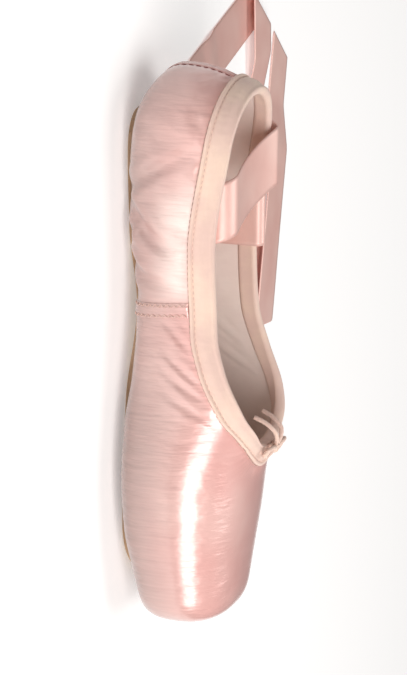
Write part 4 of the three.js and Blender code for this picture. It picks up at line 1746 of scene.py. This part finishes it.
@dataclass
class Ribbon:
    """Satin ribbon sewn inside a quarter, over the outer rim and laid out on the floor.

    sewn_at and over are where it is sewn and where it goes over the rim, from the back of the heel.
    lean is how far it is turned back towards the heel, in degrees.
    """

    upper: Upper
    side: Side
    sewn_at: float
    over: float
    lean: float
    lay: tuple[LayRow, ...]
    width: float = 22.0
    length: float = 500.0
    thick: float = 0.34
    solid_thick: float = 0.5
    sewn: float = 22.0
    floor: float = 0.55
    rim_turn: float = 164.0
    floor_round: float = 24.0
    fold_round: float = 1.7
    end_slant: float = 66.0
    curl: float = 0.1
    stitched_from: float = 2.5
    stitched_to: float = 18.0
    stitched_half: float = 9.0
    stitch_pitch: float = 2.6
    stitch_length: float = 1.7
    crossing: Crossing = Crossing()

    def __post_init__(self) -> None:
        """Measures the rims and settles every bend."""
        self.near, self.far = self.rim(self.sewn_at), self.rim(self.over)
        self.way = self.side.value
        if self.side is Side.OUTER:
            self.height, turns = self.near.height, [(self.rim_turn, self.near.round)]
        else:
            self.height, turns = self.across_opening()
        self.folds = self.bends(turns)

    def rim(self, x: float) -> Rim:
        """Measures the rim round x.

        Args:
            x: Middle of the ribbon, from the back of the heel.

        Returns:
            The rim there.
        """
        upper = self.upper
        places = np.linspace(x - self.width / 2, x + self.width / 2, 5)
        wall = Wall(upper.last, upper.sole, upper.topline, places, np.full(5, math.pi / 2))
        edge = np.array([0.0])
        inside = float(wall.off(edge, -(GAP + 0.7))[..., 1].min()) - 2 * GAP
        outside = float(wall.off(np.array([upper.bound]), GAP + 1.1)[..., 1].max()) + GAP
        height = float(wall.at(edge)[..., 2].max()) + 0.4
        return Rim(inside, height, (outside - inside) / 2 + self.solid_thick / 4)

    def across_opening(self) -> tuple[float, list[tuple[float, float]]]:
        """The way over to the far rim.

        Returns:
            The height at which the ribbon leaves its quarter, and its turns in degrees with their radii.
        """
        leave, meet = math.radians(self.crossing.leave), math.radians(self.crossing.meet)
        ends = self.far.round * (1 - math.sin(meet)) - self.crossing.round * (1 + math.sin(leave))
        sag = (self.near.inside + self.far.inside + ends) / (math.sin(leave) + math.sin(meet))
        rise = self.crossing.round * math.cos(leave) + sag * (math.cos(leave) - math.cos(meet))
        height = self.far.height + self.far.round * math.cos(meet) - rise
        return height, [(-90 - self.crossing.leave, self.crossing.round),
                        (self.crossing.leave + self.crossing.meet, sag),
                        (90 - self.rim_turn - self.crossing.meet, self.far.round)]

    def bends(self, turns: list[tuple[float, float]]) -> list[Fold]:
        """Single bends that the lay comes to, from the sewn end.

        Args:
            turns: Turns on the shoe, in degrees, with their radii.

        Returns:
            Every bend, in order.
        """
        made: list[Fold] = []
        at = self.sewn
        face = -self.way
        upright = 90 - self.lean

        def add(turn: float, size: float, slant: float) -> None:
            """Adds a bend where the ribbon has got to.

            Args:
                turn: Its angle, in degrees.
                size: Its radius.
                slant: Its fold line's angle to the edge, in degrees.
            """
            nonlocal at
            made.append(Fold(at, math.radians(turn), size, math.radians(slant)))
            at += size * abs(math.radians(turn)) / math.sin(math.radians(slant))

        for turn, size in turns:
            add(turn, size, upright)
        steep = math.radians(180 - self.rim_turn)
        fall = self.far.height + self.far.round * math.sin(steep) - self.floor
        fall -= self.floor_round * (1 - math.sin(steep))
        at += fall / math.cos(steep) / math.cos(math.radians(self.lean))
        self.landing = at
        add(self.way * (90 - self.rim_turn), self.floor_round, upright)
        for row in self.lay:
            at += row.after
            if row.kind is Lay.OVER:
                add(180 * face, self.fold_round, row.slant)
                face = -face
            elif row.kind is Lay.DROP:
                slope = math.radians(row.turn)
                add(-row.turn * face, row.round, row.slant)
                at += (2 * self.fold_round - 2 * row.round * (1 - math.cos(slope))) / math.sin(slope)
                add(row.turn * face, row.round, row.slant)
            else:
                add(row.turn * face, row.round, row.slant)
                at += 3
                add(-2 * row.turn * face, row.round, row.slant)
                at += 3
                add(row.turn * face, row.round, row.slant)
        return made

    def folded(self, along: Array, across: Array, lift: Array) -> Array:
        """Where points of the flat ribbon go once every fold is made, the farthest fold first.

        Args:
            along: Millimetres from the sewn end.
            across: Millimetres from the middle line.
            lift: Millimetres off its middle surface.

        Returns:
            Points on the last.
        """
        x, y, z = along.copy(), across.copy(), lift.copy()
        for fold in reversed(self.folds):
            sin, cos = math.sin(fold.slant), math.cos(fold.slant)
            reached = (along - fold.at) * sin - across * cos
            sign = math.copysign(1.0, fold.turn)
            rolled = fold.round * abs(fold.turn)
            forward = (x - fold.at) * sin - y * cos
            sideways = (x - fold.at) * cos + y * sin
            turn = sign * np.minimum(reached / fold.round, abs(fold.turn))
            past = np.where(reached < rolled, 0.0, forward - rolled)
            ahead = fold.round * np.sin(np.abs(turn)) + past * np.cos(turn) - z * np.sin(turn)
            up = sign * fold.round * (1 - np.cos(turn)) + past * np.sin(turn) + z * np.cos(turn)
            bent = reached > 0
            x = np.where(bent, fold.at + ahead * sin + sideways * cos, x)
            y = np.where(bent, sideways * sin - ahead * cos, y)
            z = np.where(bent, up, z)
        sin, cos = math.sin(math.radians(self.lean)), math.cos(math.radians(self.lean))
        rise = (x - self.sewn) * cos - y * sin
        back = (x - self.sewn) * sin + y * cos
        return np.stack([self.sewn_at - back, self.way * (self.near.inside + z), self.height + rise], axis=-1)

    def build(self, satin: bpy.types.Material, thread: bpy.types.Material) -> None:
        """Makes the ribbon and the stitches that hold it inside the quarter.

        Args:
            satin: Finish of the ribbon.
            thread: Finish of the stitches.
        """
        name = self.side.name.lower()
        last = self.upper.last
        across = np.linspace(-self.width / 2, self.width / 2, 15)[None, :]
        share = np.linspace(0.0, 1.0, 521)[:, None]
        along = share * (self.length + across / math.tan(math.radians(self.end_slant)))
        across = across + 0 * along
        loose = smooth_step(along, self.landing, self.landing + 60.0)
        wave = np.sin(along / 11.0 + 1.3 * np.sin(along / 29.0)) * across / self.width
        points = self.folded(along, across, self.curl * loose * wave)
        mesh = grid(last.world(points), along * MM, across * MM)
        piece = publish(mesh, f"ribbon_{name}_satin", (satin,), (f"ribbon_{name}",))
        cloth = piece.modifiers.new("cloth", "SOLIDIFY")
        cloth.thickness = self.thick * MM
        cloth.offset = 0.0
        self.width * MM
        stitches = Stitching(last, 0.4, 0.3)
        start, end, half = self.stitched_from, self.stitched_to, self.stitched_half
        corners = np.array([(start, -half), (start, half), (end, half), (end, -half), (start, -half)])
        line = resample(corners, 90)
        held = self.folded(line[:, 0], line[:, 1], np.full(len(line), self.thick / 2))
        out = np.tile([0.0, float(self.side.value), 0.0], (len(line), 1))
        stitches.run(held, out, self.stitch_pitch, self.stitch_length)
        publish(stitches.mesh(), f"ribbon_{name}_stitches", (thread,))


INNER_LAY = (
    LayRow(Lay.BUMP, 14, 94, 8, 24),
    LayRow(Lay.OVER, 46, 128),
    LayRow(Lay.DROP, 18, 90, 12, 20),
    LayRow(Lay.BUMP, 20, 86, 9, 26),
    LayRow(Lay.OVER, 60, 98),
    LayRow(Lay.DROP, 76, 90, 10, 24),
)
OUTER_LAY = (
    LayRow(Lay.OVER, 18, 134),
    LayRow(Lay.DROP, 18, 90, 12, 20),
    LayRow(Lay.BUMP, 16, 86, 9, 26),
    LayRow(Lay.OVER, 40, 97.5),
    LayRow(Lay.DROP, 84, 90, 10, 24),
    LayRow(Lay.OVER, 10, 97.5),
    LayRow(Lay.DROP, 84, 90, 10, 24),
)


# Studio


@dataclass(frozen=True)
class Lamp:
    """A soft light that looks at the shoe: direction from the shoe, metres and watts.

    size has its two sides, the first along the shoe.
    """

    name: str
    direction: tuple[float, float, float]
    distance: float
    size: tuple[float, float]
    power: float
    colour: Colour

    def build(self, aim: Vector) -> None:
        """Hangs the lamp.

        Args:
            aim: What it points at.
        """
        data = bpy.data.lights.new(self.name, "AREA")
        data.shape = "RECTANGLE"
        data.size, data.size_y = self.size
        data.energy = self.power
        data.color = self.colour
        lamp = bpy.data.objects.new(self.name, data)
        back = Vector(self.direction).normalized()
        across = (Vector((1.0, 0.0, 0.0)) - back * back.x).normalized()
        place = Matrix((across, back.cross(across), back)).transposed().to_4x4()
        place.translation = back * self.distance + aim
        lamp.matrix_world = place
        bpy.context.scene.collection.objects.link(lamp)


@dataclass
class Studio:
    """Floor, light and camera."""

    azimuth: float = 15.0
    elevation: float = 19.0
    roll: float = 5.5
    frame_height: float = 0.268
    distance: float = 1.15
    sensor: float = 36.0
    aim_along: float = 0.0
    aim_up: float = 0.026
    world_strength: float = 0.17
    world_colour: Colour = (1.0, 0.985, 0.975)
    lamps_aim: tuple[float, float, float] = (0.0, 0.0, 0.03)
    floor_size: float = 3.0
    lamps: tuple[Lamp, ...] = (
        Lamp("key", (0.42, -0.76, 0.53), 0.9, (1.1, 0.4), 8.2, (1.0, 0.985, 0.97)),
        Lamp("fill", (0.05, 0.3, 1.0), 1.2, (0.9, 0.7), 6.6, (1.0, 0.99, 0.98)),
    )

    def axes(self) -> tuple[Vector, Vector, Vector]:
        """The camera's right, up and backward directions, the toe down in the picture.

        Returns:
            Unit vectors.
        """
        a, e = math.radians(self.azimuth), math.radians(self.elevation)
        back = Vector((-math.sin(a) * math.cos(e), -math.cos(a) * math.cos(e), math.sin(e)))
        up = Vector((-math.cos(a), math.sin(a), 0.0))
        turn = Matrix.Rotation(math.radians(self.roll), 3, back)
        up = turn @ up
        return up.cross(back), up, back

    def camera(self) -> None:
        """Places the camera at the picture's angle to the shoe."""
        right, up, back = self.axes()
        data = bpy.data.cameras.new("camera")
        data.sensor_width = self.sensor
        data.lens = self.sensor * self.distance / self.frame_height
        eye = bpy.data.objects.new("camera", data)
        aim = right * self.aim_up - up * self.aim_along
        place = Matrix((right, up, back)).transposed().to_4x4()
        place.translation = aim + back * self.distance
        eye.matrix_world = place
        bpy.context.scene.collection.objects.link(eye)
        bpy.context.scene.camera = eye

    def floor(self) -> None:
        """Lays the floor."""
        mesh = bmesh.new()
        bmesh.ops.create_grid(mesh, x_segments=12, y_segments=12, size=self.floor_size)
        data = bpy.data.meshes.new("studio_floor")
        mesh.to_mesh(data)
        mesh.free()
        data.materials.append(StudioFloor().material())
        ground = bpy.data.objects.new("studio_floor", data)
        bpy.context.scene.collection.objects.link(ground)

    def build(self) -> None:
        """Sets up the studio."""
        scene = bpy.context.scene
        scene.view_settings.view_transform = "Standard"
        world = bpy.data.worlds.new("studio")
        world.use_nodes = True
        sky = world.node_tree.nodes["Background"]
        sky.inputs[0].default_value = (*self.world_colour, 1.0)
        sky.inputs[1].default_value = self.world_strength
        scene.world = world
        self.camera()
        self.floor()
        for lamp in self.lamps:
            lamp.build(Vector(self.lamps_aim))


def main() -> None:
    """Builds the shoe, its ties and the studio, in order."""
    logging.basicConfig(level=logging.INFO, format="%(message)s")
    Studio().build()
    satin = Satin("pink_satin", rose=(0.80, 0.42, 0.38), pale=(0.85, 0.52, 0.47), roughness=0.33,
                  metal=0.14).material()
    ribbon_satin = Satin("ribbon_satin", rose=(0.82, 0.47, 0.41), pale=(0.90, 0.60, 0.53), roughness=0.46,
                         metal=0.2, coat=0.12, across=1.0 / 0.0012, along=1.0 / 0.004, mapped=True,
                         streak_depth=0.00003).material()
    lining = Cotton("canvas_lining", (0.91, 0.75, 0.69), (0.94, 0.80, 0.73), 0.9).material()
    tape = Cotton("binding_cotton", (0.82, 0.58, 0.50), (0.91, 0.68, 0.55), 0.8).material()
    sock = Cotton("insole_cotton", (0.78, 0.66, 0.55), (0.82, 0.70, 0.58), 0.9).material()
    thread = Thread("pink_thread", (0.80, 0.55, 0.47)).material()
    dark_thread = Thread("heel_thread", (0.30, 0.055, 0.05)).material()
    sole_thread = Thread("sole_thread", (0.62, 0.46, 0.33)).material()

    last = Last()
    pattern = SolePattern(last)
    upper = Upper(last, pattern, Topline(last))
    Drawstring(upper).build(tape)
    upper.build(satin, lining)
    Binding(upper).build(tape, thread)
    for side in Side:
        SideSeam(upper, side).build(satin, thread)
    BackSeam(upper).build(satin, dark_thread)
    Outsole(pattern).build(Leather().material(), sole_thread)
    Insole(last).build(sock)
    Ribbon(upper, Side.INNER, 54.0, 38.0, 17.0, INNER_LAY).build(ribbon_satin, thread)
    Ribbon(upper, Side.OUTER, 64.0, 64.0, 0.0, OUTER_LAY).build(ribbon_satin, thread)


if __name__ == "__main__":
    main()
